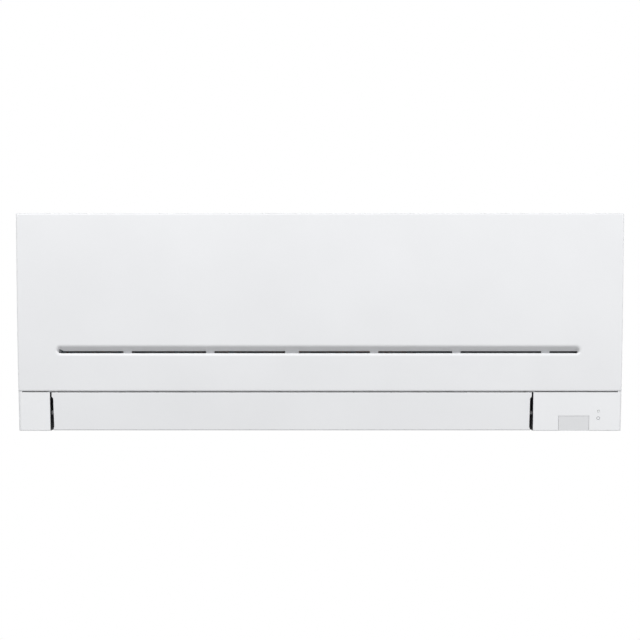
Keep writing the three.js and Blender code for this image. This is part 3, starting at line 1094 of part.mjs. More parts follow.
function electricalBox() {
  const outside = block(...BOX_X, ...BOX_D, BOX_FOOT, BOX_HEAD);
  const tray = cut(outside, block(BOX_X[0] + BOX_WALL, BOX_X[1] - BOX_WALL, BOX_D[0] + BOX_WALL,
    BOX_D[1] + 1, BOX_FOOT + BOX_WALL, BOX_HEAD - BOX_WALL));
  const posts = [BOX_X[0] + 8, BOX_X[1] - 8].flatMap((x) => [TERMINAL_TOP + 8, BOX_HEAD - 8].map((z) => rod(
    at(x, BOX_D[0] + 1, z), at(x, BOARD_D - CLEAR, z), 3, 8)));
  return join(tray, ...posts);
}

function controlBoard() {
  const [x0, x1] = [BOX_X[0] + BOX_WALL + 1, BOX_X[1] - BOX_WALL - 1];
  const [z0, z1] = [TERMINAL_TOP + 2, BOX_HEAD - BOX_WALL - 1];
  const board = block(x0, x1, BOARD_D, BOARD_D + BOARD, z0, z1);
  return join(board, ...BOARD_PARTS.map(([across, up, w, d, h]) => {
    const x = x0 + (x1 - x0) * across;
    const z = z0 + (z1 - z0) * up;
    return block(Math.max(x - w / 2, x0), x + w / 2, BOARD_D + 1, BOARD_D + BOARD + d,
      Math.max(z - h / 2, z0), z + h / 2);
  }));
}

function terminalBlock() {
  const [w, d, h] = TERMINAL;
  const x1 = BOX_X[1] - BOX_WALL - 1;
  const back = BOX_D[0] + BOX_WALL + CLEAR;
  const z0 = BOX_FOOT + BOX_WALL + CLEAR;
  const body = block(x1 - w, x1, back, back + d, z0, z0 + h);
  const wells = [0, 1, 2, 3].map((i) => {
    const x = x1 - w + (w * (i + 0.5)) / 4;
    return block(x - 3.5, x + 3.5, back + d - 5, back + d + 1, z0 + 4, z0 + h - 4);
  });
  return cut(body, ...wells);
}

const DISPLAY_D = DEPTH - DISPLAY_INSET;
const WINDOW_BOX = [SIDE - WINDOW_X[0], SIDE - WINDOW_X[1]];
const LAMP_X = SIDE - LAMP_INSET;
const LAMP_Z = BOTTOM + LAMP_RISE;
const BUTTON_X = SIDE - BUTTON_INSET;
const BUTTON_Z = BOTTOM + BUTTON_RISE;
const windowLine = [...heights(BOTTOM, BOTTOM + WINDOW_HEIGHT).reverse().map((z) => [front(z), z]),
  [front(BOTTOM) - WINDOW_UNDER, BOTTOM]];

function windowOpening() {
  const high = BOTTOM + WINDOW_HEIGHT + CLEAR;
  const x = [WINDOW_BOX[0] - CLEAR, WINDOW_BOX[1] + CLEAR];
  return block(...x, front(BOTTOM) - WINDOW_UNDER - CLEAR, DEPTH, BOTTOM - 1, high);
}

function receiverWindow() {
  const within = block(...WINDOW_BOX, 0, DEPTH, BOTTOM, BOTTOM + WINDOW_HEIGHT);
  const pane = prism(ribbon(windowLine, WALL), ...WINDOW_BOX).intersect(within);
  const inside = WALL + CLEAR;
  const z0 = BOTTOM + WALL + CLEAR;
  const z1 = BOTTOM + WINDOW_HEIGHT + WINDOW_LAP;
  const flange = prism([[front(z0) - inside, z0], [front(z1) - inside, z1], [front(z1) - inside - 1.5, z1],
    [front(z0) - inside - 1.5, z0]], WINDOW_BOX[0] - WINDOW_LAP, WINDOW_BOX[1] + WINDOW_LAP);
  const bridge = prism([[front(z0) - 1, z0], [front(z1) - 1, BOTTOM + WINDOW_HEIGHT - 1],
    [front(z1) - inside - 1, BOTTOM + WINDOW_HEIGHT - 1], [front(z0) - inside - 1, z0]], WINDOW_BOX[0] + 1,
  WINDOW_BOX[1] - 1);
  return join(pane, flange, bridge);
}

function displayBoard() {
  const board = block(SIDE - DISPLAY_X[0], SIDE - DISPLAY_X[1], DISPLAY_D, DISPLAY_D + BOARD,
    BOTTOM + DISPLAY_RISE[0], BOTTOM + DISPLAY_RISE[1]);
  const receiver = block(WINDOW_BOX[0] + 14, WINDOW_BOX[0] + 24, DISPLAY_D + 1, DISPLAY_D + 6,
    BOTTOM + 12, BOTTOM + 19);
  const switchFace = BUTTON_BACK - BUTTON_TRAVEL - CLEAR;
  const pad = block(BUTTON_X - 3, BUTTON_X + 3, DISPLAY_D + 1, switchFace, BUTTON_Z - 3, BUTTON_Z + 3);
  return join(board, receiver, pad);
}

const BUTTON_BACK = casingFront(BUTTON_Z - BUTTON_FLANGE) - WALL - CLEAR - BUTTON_SKIRT;
function emergencyButton() {
  const proud = casingFront(BUTTON_Z) + BUTTON_PROUD;
  const rear = at(BUTTON_X, BUTTON_BACK, BUTTON_Z);
  return join(rod(rear, at(BUTTON_X, proud, BUTTON_Z), BUTTON_RADIUS, 12),
    rod(rear, at(BUTTON_X, BUTTON_BACK + BUTTON_SKIRT, BUTTON_Z), BUTTON_FLANGE, 12));
}

const indicatorLamp = () => rod(at(LAMP_X, DISPLAY_D + BOARD + CLEAR, LAMP_Z),
  at(LAMP_X, front(LAMP_Z) - 0.1, LAMP_Z), LAMP_RADIUS, 10);

// ---- Fastenings ----
function casingScrew(x) {
  const [radius, height] = SCREW_HEAD;
  const under = POCKET_TOP - POCKET_WALL - CLEAR;
  return join(rod(at(x, SCREW_D, under - height), at(x, SCREW_D, under), radius, 10),
    rod(at(x, SCREW_D, under - 1), at(x, SCREW_D, POCKET_TOP + 12), SCREW_RADIUS, 8));
}

function screwCap(x) {
  const [w, d, h] = CAP_SIZE;
  return join(block(x - w / 2, x + w / 2, SCREW_D - d / 2, SCREW_D + d / 2, BOTTOM, BOTTOM + h),
    rodX(x - w / 2 - 1.3, x + w / 2 + 1.3, SCREW_D - d / 2 + CAP_PIN, BOTTOM + h / 2, CAP_PIN, 6));
}

// ---- The whole unit ----
add('installation_plate', installationPlate(), 'steel');
add('rear_chassis', rearChassis(), 'housing');
add('drain_pan', drainPan(), 'housing');
add('front_casing', frontCasing(), 'white');
add('intake_grille', intakeGrille(), 'white');
add('front_panel', frontPanel(), 'white');
add('air_filter_left', airFilter(FILTER_X[0] + CLEAR, FILTER_MIDDLE - FILTER_GAP / 2), 'filter');
add('air_filter_right', airFilter(FILTER_MIDDLE + FILTER_GAP / 2, FILTER_X[1] - CLEAR), 'filter');
add('coil_front_fins', coilFins(FRONT_BANK), 'fins');
add('coil_rear_fins', coilFins(REAR_BANK), 'fins');
add('coil_tube', coilTube(), 'copper');
add('coil_plate_left', coilPlate(0), 'steel');
add('coil_plate_right', coilPlate(1), 'steel');
add('coil_ridge_seal', ridgeSeal(), 'foam');
add('liquid_pipe', connectionPipe(RUNS[0], LIQUID_RADIUS, LIQUID_X, LIQUID_Z, LIQUID_END), 'copper');
add('gas_pipe', connectionPipe(RUNS[RUNS.length - 1], GAS_RADIUS, GAS_X, GAS_Z, GAS_END), 'copper');
add('liquid_flare_nut', flareNut(LIQUID_NUT, LIQUID_END, LIQUID_Z, LIQUID_RADIUS), 'brass');
add('gas_flare_nut', flareNut(GAS_NUT, GAS_END, GAS_Z, GAS_RADIUS), 'brass');
add('pipe_clamp', pipeClamp(), 'darkPlastic');
add('drain_spigot', drainSpigot(), 'greyPlastic');
add('crossflow_fan', crossflowFan(), 'darkPlastic');
const BEARING_X = [OUTLET_X[0] - BEARING_WIDTH, OUTLET_X[0]];
const BEARING_SEAT = BEARING_RADIUS + BEARING_MOUNT;
add('bearing_bush', ring(...BEARING_X, SHAFT_RADIUS + CLEAR, BEARING_RADIUS, 16), 'steel');
add('bearing_mount', ring(...BEARING_X, BEARING_RADIUS + CLEAR, BEARING_SEAT, 16), 'rubber');
add('fan_motor', fanMotor(), 'steel');
RINGS_X.forEach((x, i) => {
  const cushion = ring(x, x + MOTOR_RING_WIDTH, MOTOR_RADIUS + CLEAR, MOTOR_RADIUS + MOTOR_RING, 24);
  add(`motor_ring_${['left', 'right'][i]}`, cushion, 'rubber');
});
add('motor_clamp', motorClamp(), 'housing');
add('horizontal_vane', horizontalVane(), 'vane');
add('vane_motor', vaneMotor(), 'greyPlastic');
add('vane_support_left', vaneSupport(SUPPORTS_X[0]), 'housing');
add('vane_support_right', vaneSupport(SUPPORTS_X[1]), 'housing');
LOUVRE_SETS.forEach((xs, set) => {
  const side = ['left', 'right'][set];
  add(`louvre_rail_${side}`, louvreRail(xs), 'housing');
  xs.forEach((x, i) => {
    add(`louvre_${side}_${i + 1}`, i === 0 ? leadingLouvre(x) : louvre(x), 'darkPlastic');
  });
  add(`louvre_tie_bar_${side}`, tieBar(xs), 'darkPlastic');
  add(`louvre_motor_${side}`, louvreMotor(xs[0]), 'greyPlastic');
});
add('electrical_box', electricalBox(), 'housing');
add('control_board', controlBoard(), 'board');
add('terminal_block', terminalBlock(), 'greyPlastic');
add('display_board', displayBoard(), 'board');
add('receiver_window', receiverWindow(), 'window');
add('indicator_lamp', indicatorLamp(), 'lamp');
add('emergency_button', emergencyButton(), 'white');
SCREWS_X.forEach((x, i) => {
  const side = ['left', 'right'][i];
  add(`casing_screw_${side}`, casingScrew(x), 'steel');
  add(`screw_cap_${side}`, screwCap(x), 'white');
});

export default unit;
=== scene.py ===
"""Looks of a wall-mounted mini split indoor unit, laid out as an add-on and run as a script.

Lengths are metres, written in millimetres times MM. +X runs to the right as the unit is seen
from the room, +Y points into the wall and +Z is up. A point given as (x, d, z) lies d in front
of the wall plane, at y = -d.
"""

import json
import math
from contextlib import contextmanager

import bmesh
import bpy
from bpy.props import FloatProperty, FloatVectorProperty, IntProperty, PointerProperty
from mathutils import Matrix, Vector

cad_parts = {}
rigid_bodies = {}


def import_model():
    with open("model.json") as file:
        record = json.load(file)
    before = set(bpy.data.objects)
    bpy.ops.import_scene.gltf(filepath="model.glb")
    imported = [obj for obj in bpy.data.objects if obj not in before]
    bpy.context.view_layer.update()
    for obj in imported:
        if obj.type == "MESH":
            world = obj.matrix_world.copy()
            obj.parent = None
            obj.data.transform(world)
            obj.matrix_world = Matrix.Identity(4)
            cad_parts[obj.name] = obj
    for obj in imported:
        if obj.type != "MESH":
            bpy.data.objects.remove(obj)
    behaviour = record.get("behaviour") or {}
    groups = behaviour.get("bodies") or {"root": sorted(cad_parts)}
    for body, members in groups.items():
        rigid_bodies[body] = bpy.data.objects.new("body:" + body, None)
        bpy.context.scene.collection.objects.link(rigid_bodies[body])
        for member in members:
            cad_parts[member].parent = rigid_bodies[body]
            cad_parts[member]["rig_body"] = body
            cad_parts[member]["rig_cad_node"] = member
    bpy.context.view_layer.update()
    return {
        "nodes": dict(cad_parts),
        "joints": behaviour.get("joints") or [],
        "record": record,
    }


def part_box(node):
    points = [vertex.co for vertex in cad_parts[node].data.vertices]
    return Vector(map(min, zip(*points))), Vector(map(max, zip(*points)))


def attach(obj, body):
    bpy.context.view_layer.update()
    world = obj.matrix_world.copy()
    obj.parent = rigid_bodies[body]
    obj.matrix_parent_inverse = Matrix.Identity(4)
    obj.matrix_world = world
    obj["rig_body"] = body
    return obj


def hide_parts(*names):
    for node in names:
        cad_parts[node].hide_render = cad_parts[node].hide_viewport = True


bl_info = {
    "name": "Mini split indoor unit",
    "version": (1, 0, 0),
    "blender": (4, 5, 0),
    "location": "View3D > Sidebar > Indoor unit",
    "description": "Builds the visible pieces of a wall-mounted indoor unit around its CAD frame",
    "category": "Object",
}

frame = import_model()

MM = 0.001
NEAR = 0.01 * MM  # places closer than this are taken as one
MERGE = 0.002 * MM  # corners closer than this are merged
CLEAR = 5 * MM  # how far a cutter stands out of what it cuts
FLAT = math.radians(0.4)  # faces that turn by less are made one
SHARP = math.radians(40)  # edges that turn by more are softened

# ---- Places read from the frame ----
SLOTS = {part["node"]: part["material_slot"] for part in frame["record"]["subparts"]}
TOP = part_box("front_casing")[1].z
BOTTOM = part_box("front_casing")[0].z
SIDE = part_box("front_casing")[1].x
DEPTH = -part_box("front_panel")[0].y
HEIGHT = TOP - BOTTOM
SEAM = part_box("front_panel")[0].z
JOINTS = {joint["name"]: joint for joint in frame["joints"]}
HINGE = Vector(JOINTS["panel_hinge"]["pos_m"])
PIVOT = Vector(JOINTS["vane_pivot"]["pos_m"])
FAN_AXIS = Vector(JOINTS["fan_spin"]["pos_m"])

# ---- The bowed front ----
FRONT_LEAN = 19.3 * MM
FRONT_BOW = 15.7 * MM

# ---- Front panel ----
PANEL_ROWS = 24
PANEL_WALL = 2.6 * MM
PANEL_RETURN = 13 * MM
PANEL_BOTTOM_RETURN = 5 * MM
PANEL_SIDE_EDGE = 2.4 * MM
PANEL_TOP_EDGE = 1.3 * MM
PANEL_FOOT_EDGE = 0.4 * MM
PANEL_INNER_EDGE = 2 * MM
PANEL_FOOT = SEAM - 0.25 * MM
HINGE_ARMS_X = 336 * MM
HINGE_ARM = 4 * MM
HINGE_PIN = [2.2 * MM, 2.8 * MM]  # radius, and reach beside the arm
HINGE_EYE = [3 * MM, 2.5 * MM]  # the arm round its pin: behind and below it, and above it
HINGE_ARM_LEAN = 2 * MM
HINGE_ARM_FOOT = 8 * MM  # the arm's end on the panel, below its pin
SLOT_X = [-350.5 * MM, 346 * MM]
SLOT_MIDDLE_Z = -36.5 * MM
SLOT_HOLE = 4.4 * MM  # half height of the slot behind its rounded rim
SLOT_DEPTH = 11 * MM
SLOT_SHELL = 1.5 * MM
SLOT_TROUGH = [1.2 * MM, 3.6 * MM]  # the shell's start behind the front, and its extra height
SLOT_LEAD = 2 * MM  # how far the slot's cutter stands out of the front
SLIT_HEIGHT = 4.1 * MM
SLOT_BACK = 0.4 * MM  # height left at the slot's back, below its sloping roof
SLOT_END_LEAN = 3.5 * MM
SLIT_END = 5.5 * MM
SLIT_START = 4 * MM  # how far in front of the slot's back the slit begins
SLIT_BLIND = 1.1 * MM  # depth of the slit where a wall and no filter lies behind it
SLOT_PAINTED_SHADE = 0.86  # painted shade: tone of the plastic inside the slot, as a share of the panel's, darkened where the slot lies in shade
SLIT_BELOW = 0.6 * MM  # how far the slit reaches below the rim, out of sight
# The upturned left end of the slit: its distance from the slit's own faces, its depth behind the
# front, width and height of its top, and width and height of its sloping side.
UPTURN_INSET = 0.3 * MM
UPTURN_START = 3 * MM
UPTURN_TOP = [1.8 * MM, 0.6 * MM]
UPTURN_SIDE = [5.2 * MM, 2.2 * MM]
RIM_STEPS = 6
RIM_TURN = math.radians(50)
# Ribs across the slit: place as a share of the slot's length, and width.
RIBS = [(0.138, 11), (0.295, 11), (0.45, 18), (0.606, 11), (0.762, 11), (0.931, 11)]

# ---- Vane ----
VANE_TOP = SEAM - 1.9 * MM
VANE_FOOT = BOTTOM + 0.6 * MM
VANE_X = [-355 * MM, 280 * MM]
VANE_TAPER = 2.2 * MM
# How far the vane's end has stepped in, at distances below its top.
VANE_END = [(5.4 * MM, 0.1 * MM), (8 * MM, 2.1 * MM), (45 * MM, 2.8 * MM), (48 * MM, 2 * MM),
            (54 * MM, 1 * MM)]
VANE_WALL = 1.8 * MM
VANE_CORNER = 2.1 * MM
VANE_LIP = 22 * MM
VANE_RIB = 2.4 * MM
VANE_RIB_SPAN = 26 * MM
VANE_BACK = 150 * MM  # all of the vane lies in front of this depth
VANE_END_EDGE = 0.5 * MM
PIVOT_HUB = 5.2 * MM
PIVOT_RADIUS = 2.5 * MM
PIVOT_REACH = [2.2 * MM, 8.5 * MM]  # how far the end pins reach into the casing
SUPPORT_GAP = 3.3 * MM
OPEN_X = [-357 * MM, 282 * MM]
FOOT_EDGE = 1.3 * MM  # rounding of the casing's lower edges
FOOT_ZONE = 4.5 * MM  # those edges lie no farther in than this
WINDOW_GAP = 0.25 * MM

# ---- Fan ----
FAN_X = [-343 * MM, 269.5 * MM]
FAN_RADIUS = 46 * MM
FAN_DISCS = 9
FAN_DISC = 2.6 * MM
FAN_BLADE = [11 * MM, 1.3 * MM]
BLADE_STEPS = 5
BLADE_TIP = 0.35  # thickness at a blade's edges, as a share of its middle
FAN_RING = [0.6 * MM, 3 * MM]  # inside the blades' outer edges, and past their inner edges
FAN_SHAFT = 4 * MM
FAN_BOSS = [11 * MM, 14 * MM]  # radius and length
FAN_BORE = [2 * MM, 0.3 * MM]  # the boss's floor, and the play round the shaft

# ---- Filters ----
FILTER_X = [(-342.7 * MM, -39.75 * MM), (-33.75 * MM, 269.2 * MM)]
FILTER_INSET = 18.3 * MM
FILTER_FOOT_Z = -60.5 * MM
FILTER_TOP_DROP = 9.5 * MM
FILTER_BEND = 34 * MM
FILTER_REAR = 40 * MM
NET_INSET = 0.9 * MM
NET_STEP = 12 * MM
NET_THREAD = 0.2 * MM
NET_OPEN = 0.62  # the net is open where its threads are lower than this

# ---- Coil ----
# A tube of few sides narrows when it is subdivided, so it is first thickened by this much.
PIPE_SWELL = {"coil_tube": 0.6 * MM, "liquid_pipe": 0.35 * MM, "gas_pipe": 0.5 * MM}
PIPE_CORNER = math.radians(70)  # sharper edges stay sharp
FIN = 0.16 * MM
FIN_PITCH = 1.8 * MM

# ---- Installation plate ----
PLATE = 1.2 * MM
PLATE_BEADS_Z = [-72 * MM, -28 * MM, 36 * MM, 76 * MM]
PLATE_BEADS_X = [(-318 * MM, -20 * MM), (20 * MM, 318 * MM)]
BEAD_HALF = 5.5 * MM
BEAD_RISE = 1.6 * MM

# ---- Softened edges of the pieces that keep the frame's shape ----
INNER_EDGE = 0.25 * MM

# ---- Ring mark ----
MARK_AT = (368.4 * MM, -126.6 * MM)
MARK_RING = [2 * MM, 0.3 * MM]  # radius, and half the width of its line
MARK_RISE = 0.06 * MM
MARK_FLAT = 0.25
MARK_TILT = math.radians(99.7)  # square to the front there

# ---- Stage ----
FLOOR = [9, -2]  # radius and height
FLOOR_TONES = [(0.50, 0.50, 0.50), (0.54, 0.54, 0.54)]
FLOOR_GLOW = 0.8  # share of plain white that the camera sees in the floor
LIGHT_AIM = Vector((0, -0.1, 0))
# Place and size of each light, and the setting that gives its strength.
LIGHTS = {
    "key_light": ((-1.2, -3.3, 1.9), (2.4, 1.6), "key_light"),
    "fill_light": ((2.6, -2.8, 0.9), (1.6, 1.6), "fill_light"),
    "back_light_left": ((-3, 2.2, 1.6), (1.6, 1.6), "back_light"),
    "back_light_right": ((3, 2.2, 1.6), (1.6, 1.6), "back_light"),
}
CAMERA_DISTANCE = 3.2
CAMERA_HEIGHT = 3.3 * MM
CAMERA_LENS = 137.3


def front(z):
    """Distance from the wall to the bowed front at a height."""
    t = (TOP - z) / HEIGHT
    return DEPTH - FRONT_LEAN * t - FRONT_BOW * t * t


def slope(z):
    """How far the front comes forward for each step up, at a height."""
    step = 1 * MM
    return (front(z + step) - front(z - step)) / (2 * step)


def quarter(d, z, radius, way):
    """Points (d, z) of a quarter circle, from its front up (way 1) or down (way -1)."""
    turns = [math.pi / 2 * i / 8 for i in range(1, 9)]
    return [(d + radius * math.cos(turn), z + way * radius * math.sin(turn)) for turn in turns]


def square_to(line, i):
    """The direction square to an open line at one of its points."""
    before, after = line[max(i - 1, 0)], line[min(i + 1, len(line) - 1)]
    run = math.hypot(after[0] - before[0], after[1] - before[1])
    return (after[1] - before[1]) / run, (before[0] - after[0]) / run


def heights(low, high, step):
    """Heights from low to high, in equal steps of about the given size."""
    count = max(1, round((high - low) / step))
    return [low + (high - low) * i / count for i in range(count + 1)]


# How far the slot's back is lowered, so that its floor lies level behind the tilted front.
SLOT_DROP = SLOT_DEPTH * slope(SLOT_MIDDLE_Z) + SLIT_BELOW


# ---- Modelling helpers ----
def only(*pieces):
    """Leaves these objects alone selected, the first of them active."""
    bpy.ops.object.select_all(action="DESELECT")
    for piece in pieces:
        piece.select_set(True)
    if pieces:
        bpy.context.view_layer.objects.active = pieces[0]


def settled(name):
    """Names the active object and moves its place, turn and scale into its mesh."""
    piece = bpy.context.object
    piece.name = name
    only(piece)
    bpy.ops.object.transform_apply(location=True, rotation=True, scale=True)
    return piece


@contextmanager
def editing(piece):
    """Edit mode on one object, with its whole mesh selected."""
    only(piece)
    bpy.ops.object.mode_set(mode="EDIT")
    bpy.ops.mesh.select_all(action="SELECT")
    yield
    bpy.ops.object.mode_set(mode="OBJECT")


def pick(piece, kind, test):
    """Selects the faces, edges or vertices that pass a test, and nothing else."""
    bpy.ops.mesh.select_mode(type=kind)
    bpy.ops.mesh.select_all(action="DESELECT")
    mesh = bmesh.from_edit_mesh(piece.data)
    items = {"FACE": mesh.faces, "EDGE": mesh.edges, "VERT": mesh.verts}[kind]
    found = 0
    for item in items:
        if test(item):
            item.select_set(True)
            found += 1
    mesh.select_flush_mode()
    bmesh.update_edit_mesh(piece.data)
    return found


def face_outwards():
    """Turns every face of the mesh in edit mode outwards."""
    bpy.ops.mesh.select_all(action="SELECT")
    bpy.ops.mesh.normals_make_consistent(inside=False)


def extrude(move):
    """Extrudes what is selected in edit mode by a vector."""
    bpy.ops.mesh.extrude_region_move(TRANSFORM_OT_translate={"value": move})


def shift(piece, test, move):
    """Moves the vertices that pass a test, in edit mode."""
    pick(piece, "VERT", test)
    bpy.ops.transform.translate(value=move)


def modified(piece, kind, **values):
    """Adds a modifier and applies it."""
    modifier = piece.modifiers.new(kind.title(), kind)
    for key, value in values.items():
        setattr(modifier, key, value)
    only(piece)
    bpy.ops.object.modifier_apply(modifier=modifier.name)


def block(name, low, high):
    """A box between two corners."""
    low, high = Vector(low), Vector(high)
    only()
    bpy.ops.mesh.primitive_cube_add(size=1, location=(low + high) / 2, scale=high - low)
    return settled(name)


def axle(name, axis, x0, x1, radius, sides=32):
    """A round bar along X, on the axis through a point."""
    start, end = Vector((x0, axis.y, axis.z)), Vector((x1, axis.y, axis.z))
    along = end - start
    turn = Vector((0, 0, 1)).rotation_difference(along)
    only()
    bpy.ops.mesh.primitive_cylinder_add(
        vertices=sides, radius=radius, depth=along.length,
        location=(start + end) / 2, rotation=turn.to_euler())
    return settled(name)


def outlined(name, points, move):
    """A closed outline of points, filled and extruded by a vector."""
    only()
    bpy.ops.mesh.primitive_circle_add(vertices=len(points), fill_type="NGON")
    piece = settled(name)
    with editing(piece):
        mesh = bmesh.from_edit_mesh(piece.data)
        for vertex, point in zip(mesh.verts, points):
            vertex.co = point
        bmesh.update_edit_mesh(piece.data)
        extrude(move)
        face_outwards()
    return piece


def section(name, points, x0, x1):
    """A (d, z) section run along X."""
    return outlined(name, [(x0, -d, z) for d, z in points], (x1 - x0, 0, 0))


def face(name, points, d0, d1):
    """An upright (x, z) outline given depth."""
    return outlined(name, [(x, -d0, z) for x, z in points], (0, d0 - d1, 0))


def long_hole(x0, x1, z, half, steps=8):
    """The (x, z) outline of a long hole with round ends."""
    points = []
    for x, start in ((x1 - half, -math.pi / 2), (x0 + half, math.pi / 2)):
        for i in range(steps + 1):
            turn = start + math.pi * i / steps
            points.append((x + half * math.cos(turn), z + half * math.sin(turn)))
    return points


def carve(piece, tool, operation="DIFFERENCE"):
    """Cuts a tool out of a piece, or joins it on, and removes the tool."""
    modified(piece, "BOOLEAN", operation=operation, solver="EXACT", object=tool)
    bpy.data.objects.remove(tool)
    return piece


def joined(name, pieces):
    """Several separate bodies as one object."""
    only(*pieces)
    if len(pieces) > 1:
        bpy.ops.object.join()
    return settled(name)


def round_edges(piece, width, segments, test):
    """Bevels the edges that pass a test."""
    with editing(piece):
        if pick(piece, "EDGE", test):
            bpy.ops.mesh.bevel(offset=width, segments=segments, profile=0.5, affect="EDGES")


def bowed(name, inset, low, edge, segments):
    """A slab set back behind the bowed front, with its upright front edges rounded."""
    side, high = SIDE - inset, TOP - inset
    only()
    bpy.ops.mesh.primitive_grid_add(
        x_subdivisions=1, y_subdivisions=PANEL_ROWS, size=1, location=(0, 0, (low + high) / 2),
        rotation=(math.pi / 2, 0, 0))
    bpy.context.object.scale = (2 * side, high - low, 1)
    piece = settled(name)
    with editing(piece):
        for z in heights(low, high, (high - low) / PANEL_ROWS):
            shift(piece, lambda v: abs(v.co.z - z) < NEAR, (0, inset - front(z), 0))
        bpy.ops.mesh.select_all(action="SELECT")
        extrude((0, PANEL_RETURN, 0))
        face_outwards()
    round_edges(piece, edge, segments, lambda e: all(
        abs(abs(v.co.x) - side) < NEAR and abs(v.co.y + front(v.co.z) - inset) < NEAR
        for v in e.verts))
    return piece


def smooth(piece, angle):
    """Soft shading up to an angle, with flat faces kept flat."""
    only(piece)
    bpy.ops.object.shade_smooth_by_angle(angle=math.radians(angle))
    modified(piece, "WEIGHTED_NORMAL", keep_sharp=True, weight=100)


def finish(piece, body, slot, nodes=(), angle=30):
    """Gives a piece its shading, finish and body, and hides the CAD nodes that it stands for."""
    smooth(piece, angle)
    piece.data.materials.clear()
    piece.data.materials.append(FINISHES[slot])
    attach(piece, body)
    if nodes:
        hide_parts(*nodes)
        DRESSED.update(nodes)
    return piece


def refinish(piece, slot, test):
    """Gives the faces that pass a test a finish of their own."""
    piece.data.materials.append(FINISHES[slot])
    with editing(piece):
        pick(piece, "FACE", test)
        piece.active_material_index = len(piece.data.materials) - 1
        bpy.ops.object.material_slot_assign()


def copied(node, name):
    """A copy of a CAD node."""
    only(frame["nodes"][node])
    bpy.ops.object.duplicate()
    piece = bpy.context.object
    piece.name = name
    del piece["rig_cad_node"]
    return piece


def adopted(node, edge=0.0, angle=32, shaped=None):
    """A copy of a CAD node whose shape is right, with softened edges."""
    piece = copied(node, "dressed_" + node)
    with editing(piece):
        bpy.ops.mesh.remove_doubles(threshold=MERGE)
        bpy.ops.mesh.select_all(action="SELECT")
        bpy.ops.mesh.dissolve_limited(angle_limit=FLAT)
    if shaped:
        shaped(piece)
    if edge:
        modified(piece, "BEVEL", width=edge, segments=2, limit_method="ANGLE",
                 angle_limit=SHARP, use_clamp_overlap=True)
    return finish(piece, frame["nodes"][node]["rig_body"], SLOTS[node], [node], angle)


# ---- Finishes ----
FINE_BUMP = 0.02 * MM  # relief of plastic and metal
FINISHES = {}
DRESSED = set()  # CAD nodes that a piece of the scene stands for


class Tree:
    """Adds nodes to a node tree from left to right and links their sockets."""

    def __init__(self, tree):
        self.tree = tree
        self.count = 0

    def add(self, kind, settings=None, **sockets):
        node = self.tree.nodes.new(kind if kind.startswith("Node") else "ShaderNode" + kind)
        node.location = (220 * self.count, -60 * (self.count % 4))
        self.count += 1
        for key, value in (settings or {}).items():
            setattr(node, key, value)
        for key, value in sockets.items():
            socket = node.inputs[int(key[1:])] if key[1:].isdigit() else node.inputs[
                key.replace("_", " ")]
            if isinstance(value, bpy.types.NodeSocket):
                self.tree.links.new(value, socket)
            else:
                socket.default_value = value
        return node

    def math(self, operation, a, b):
        return self.add("Math", {"operation": operation}, _0=a, _1=b).outputs[0]


def new_group(name, inputs, outputs):
    """An empty shader group with its named sockets, and its tree, entry and exit."""
    group = bpy.data.node_groups.new(name, "ShaderNodeTree")
    for label, kind, value in inputs:
        socket = group.interface.new_socket(label, in_out="INPUT", socket_type=kind)
        if value is not None:
            socket.default_value = value
    for label, kind in outputs:
        group.interface.new_socket(label, in_out="OUTPUT", socket_type=kind)
    tree = Tree(group)
    return group, tree, tree.add("NodeGroupInput").outputs


FLOAT, VECTOR = "NodeSocketFloat", "NodeSocketVector"


def moulded_group():
    """Moulded plastic: the fine grain of the tool, and a broad soft mottle."""
    group, tree, given = new_group(
        "Moulded surface",
        [("Position", VECTOR, None), ("Grain", FLOAT, 2500.0), ("Mottle Size", FLOAT, 9.0)],
        [("Height", FLOAT), ("Mottle", FLOAT)])
    grain = tree.add("TexNoise", Vector=given["Position"], Scale=given["Grain"],
                     Detail=2.0, Roughness=0.55)
    mottle = tree.add("TexNoise", Vector=given["Position"], Scale=given["Mottle Size"],
                      Detail=3.0, Roughness=0.5)
    tree.add("NodeGroupOutput", Height=grain.outputs["Fac"], Mottle=mottle.outputs["Fac"])
    return group


def drawn_group():
    """Drawn or rolled metal: streaks along one direction, and faint blotches."""
    group, tree, given = new_group(
        "Drawn metal",
        [("Position", VECTOR, None), ("Stretch", VECTOR, (40.0, 1500.0, 1500.0)),
         ("Blotch Size", FLOAT, 30.0)],
        [("Streaks", FLOAT), ("Blotches", FLOAT)])
    laid = tree.add("VectorMath", {"operation": "MULTIPLY"}, _0=given["Position"],
                    _1=given["Stretch"])
    streaks = tree.add("TexNoise", Vector=laid.outputs[0], Scale=1.0, Detail=3.0)
    blotches = tree.add("TexNoise", Vector=given["Position"], Scale=given["Blotch Size"],
                        Detail=4.0)
    tree.add("NodeGroupOutput", Streaks=streaks.outputs["Fac"], Blotches=blotches.outputs["Fac"])
    return group


def spangle_group():
    """Zinc-coated sheet: crystals of differing tone with faint borders."""
    group, tree, given = new_group(
        "Zinc spangle",
        [("Position", VECTOR, None), ("Crystal Size", FLOAT, 260.0)],
        [("Crystals", FLOAT), ("Height", FLOAT)])
    warp = tree.add("TexNoise", Vector=given["Position"], Scale=120.0, Detail=2.0)
    bent = tree.add("VectorMath", {"operation": "MULTIPLY_ADD"},
                    _0=warp.outputs["Color"], _1=(0.004, 0.004, 0.004), _2=given["Position"])
    cells = tree.add("TexVoronoi", Vector=bent.outputs[0], Scale=given["Crystal Size"])
    tone = tree.add("SeparateColor", Color=cells.outputs["Color"])
    tree.add("NodeGroupOutput", Crystals=tone.outputs["Red"], Height=cells.outputs["Distance"])
    return group


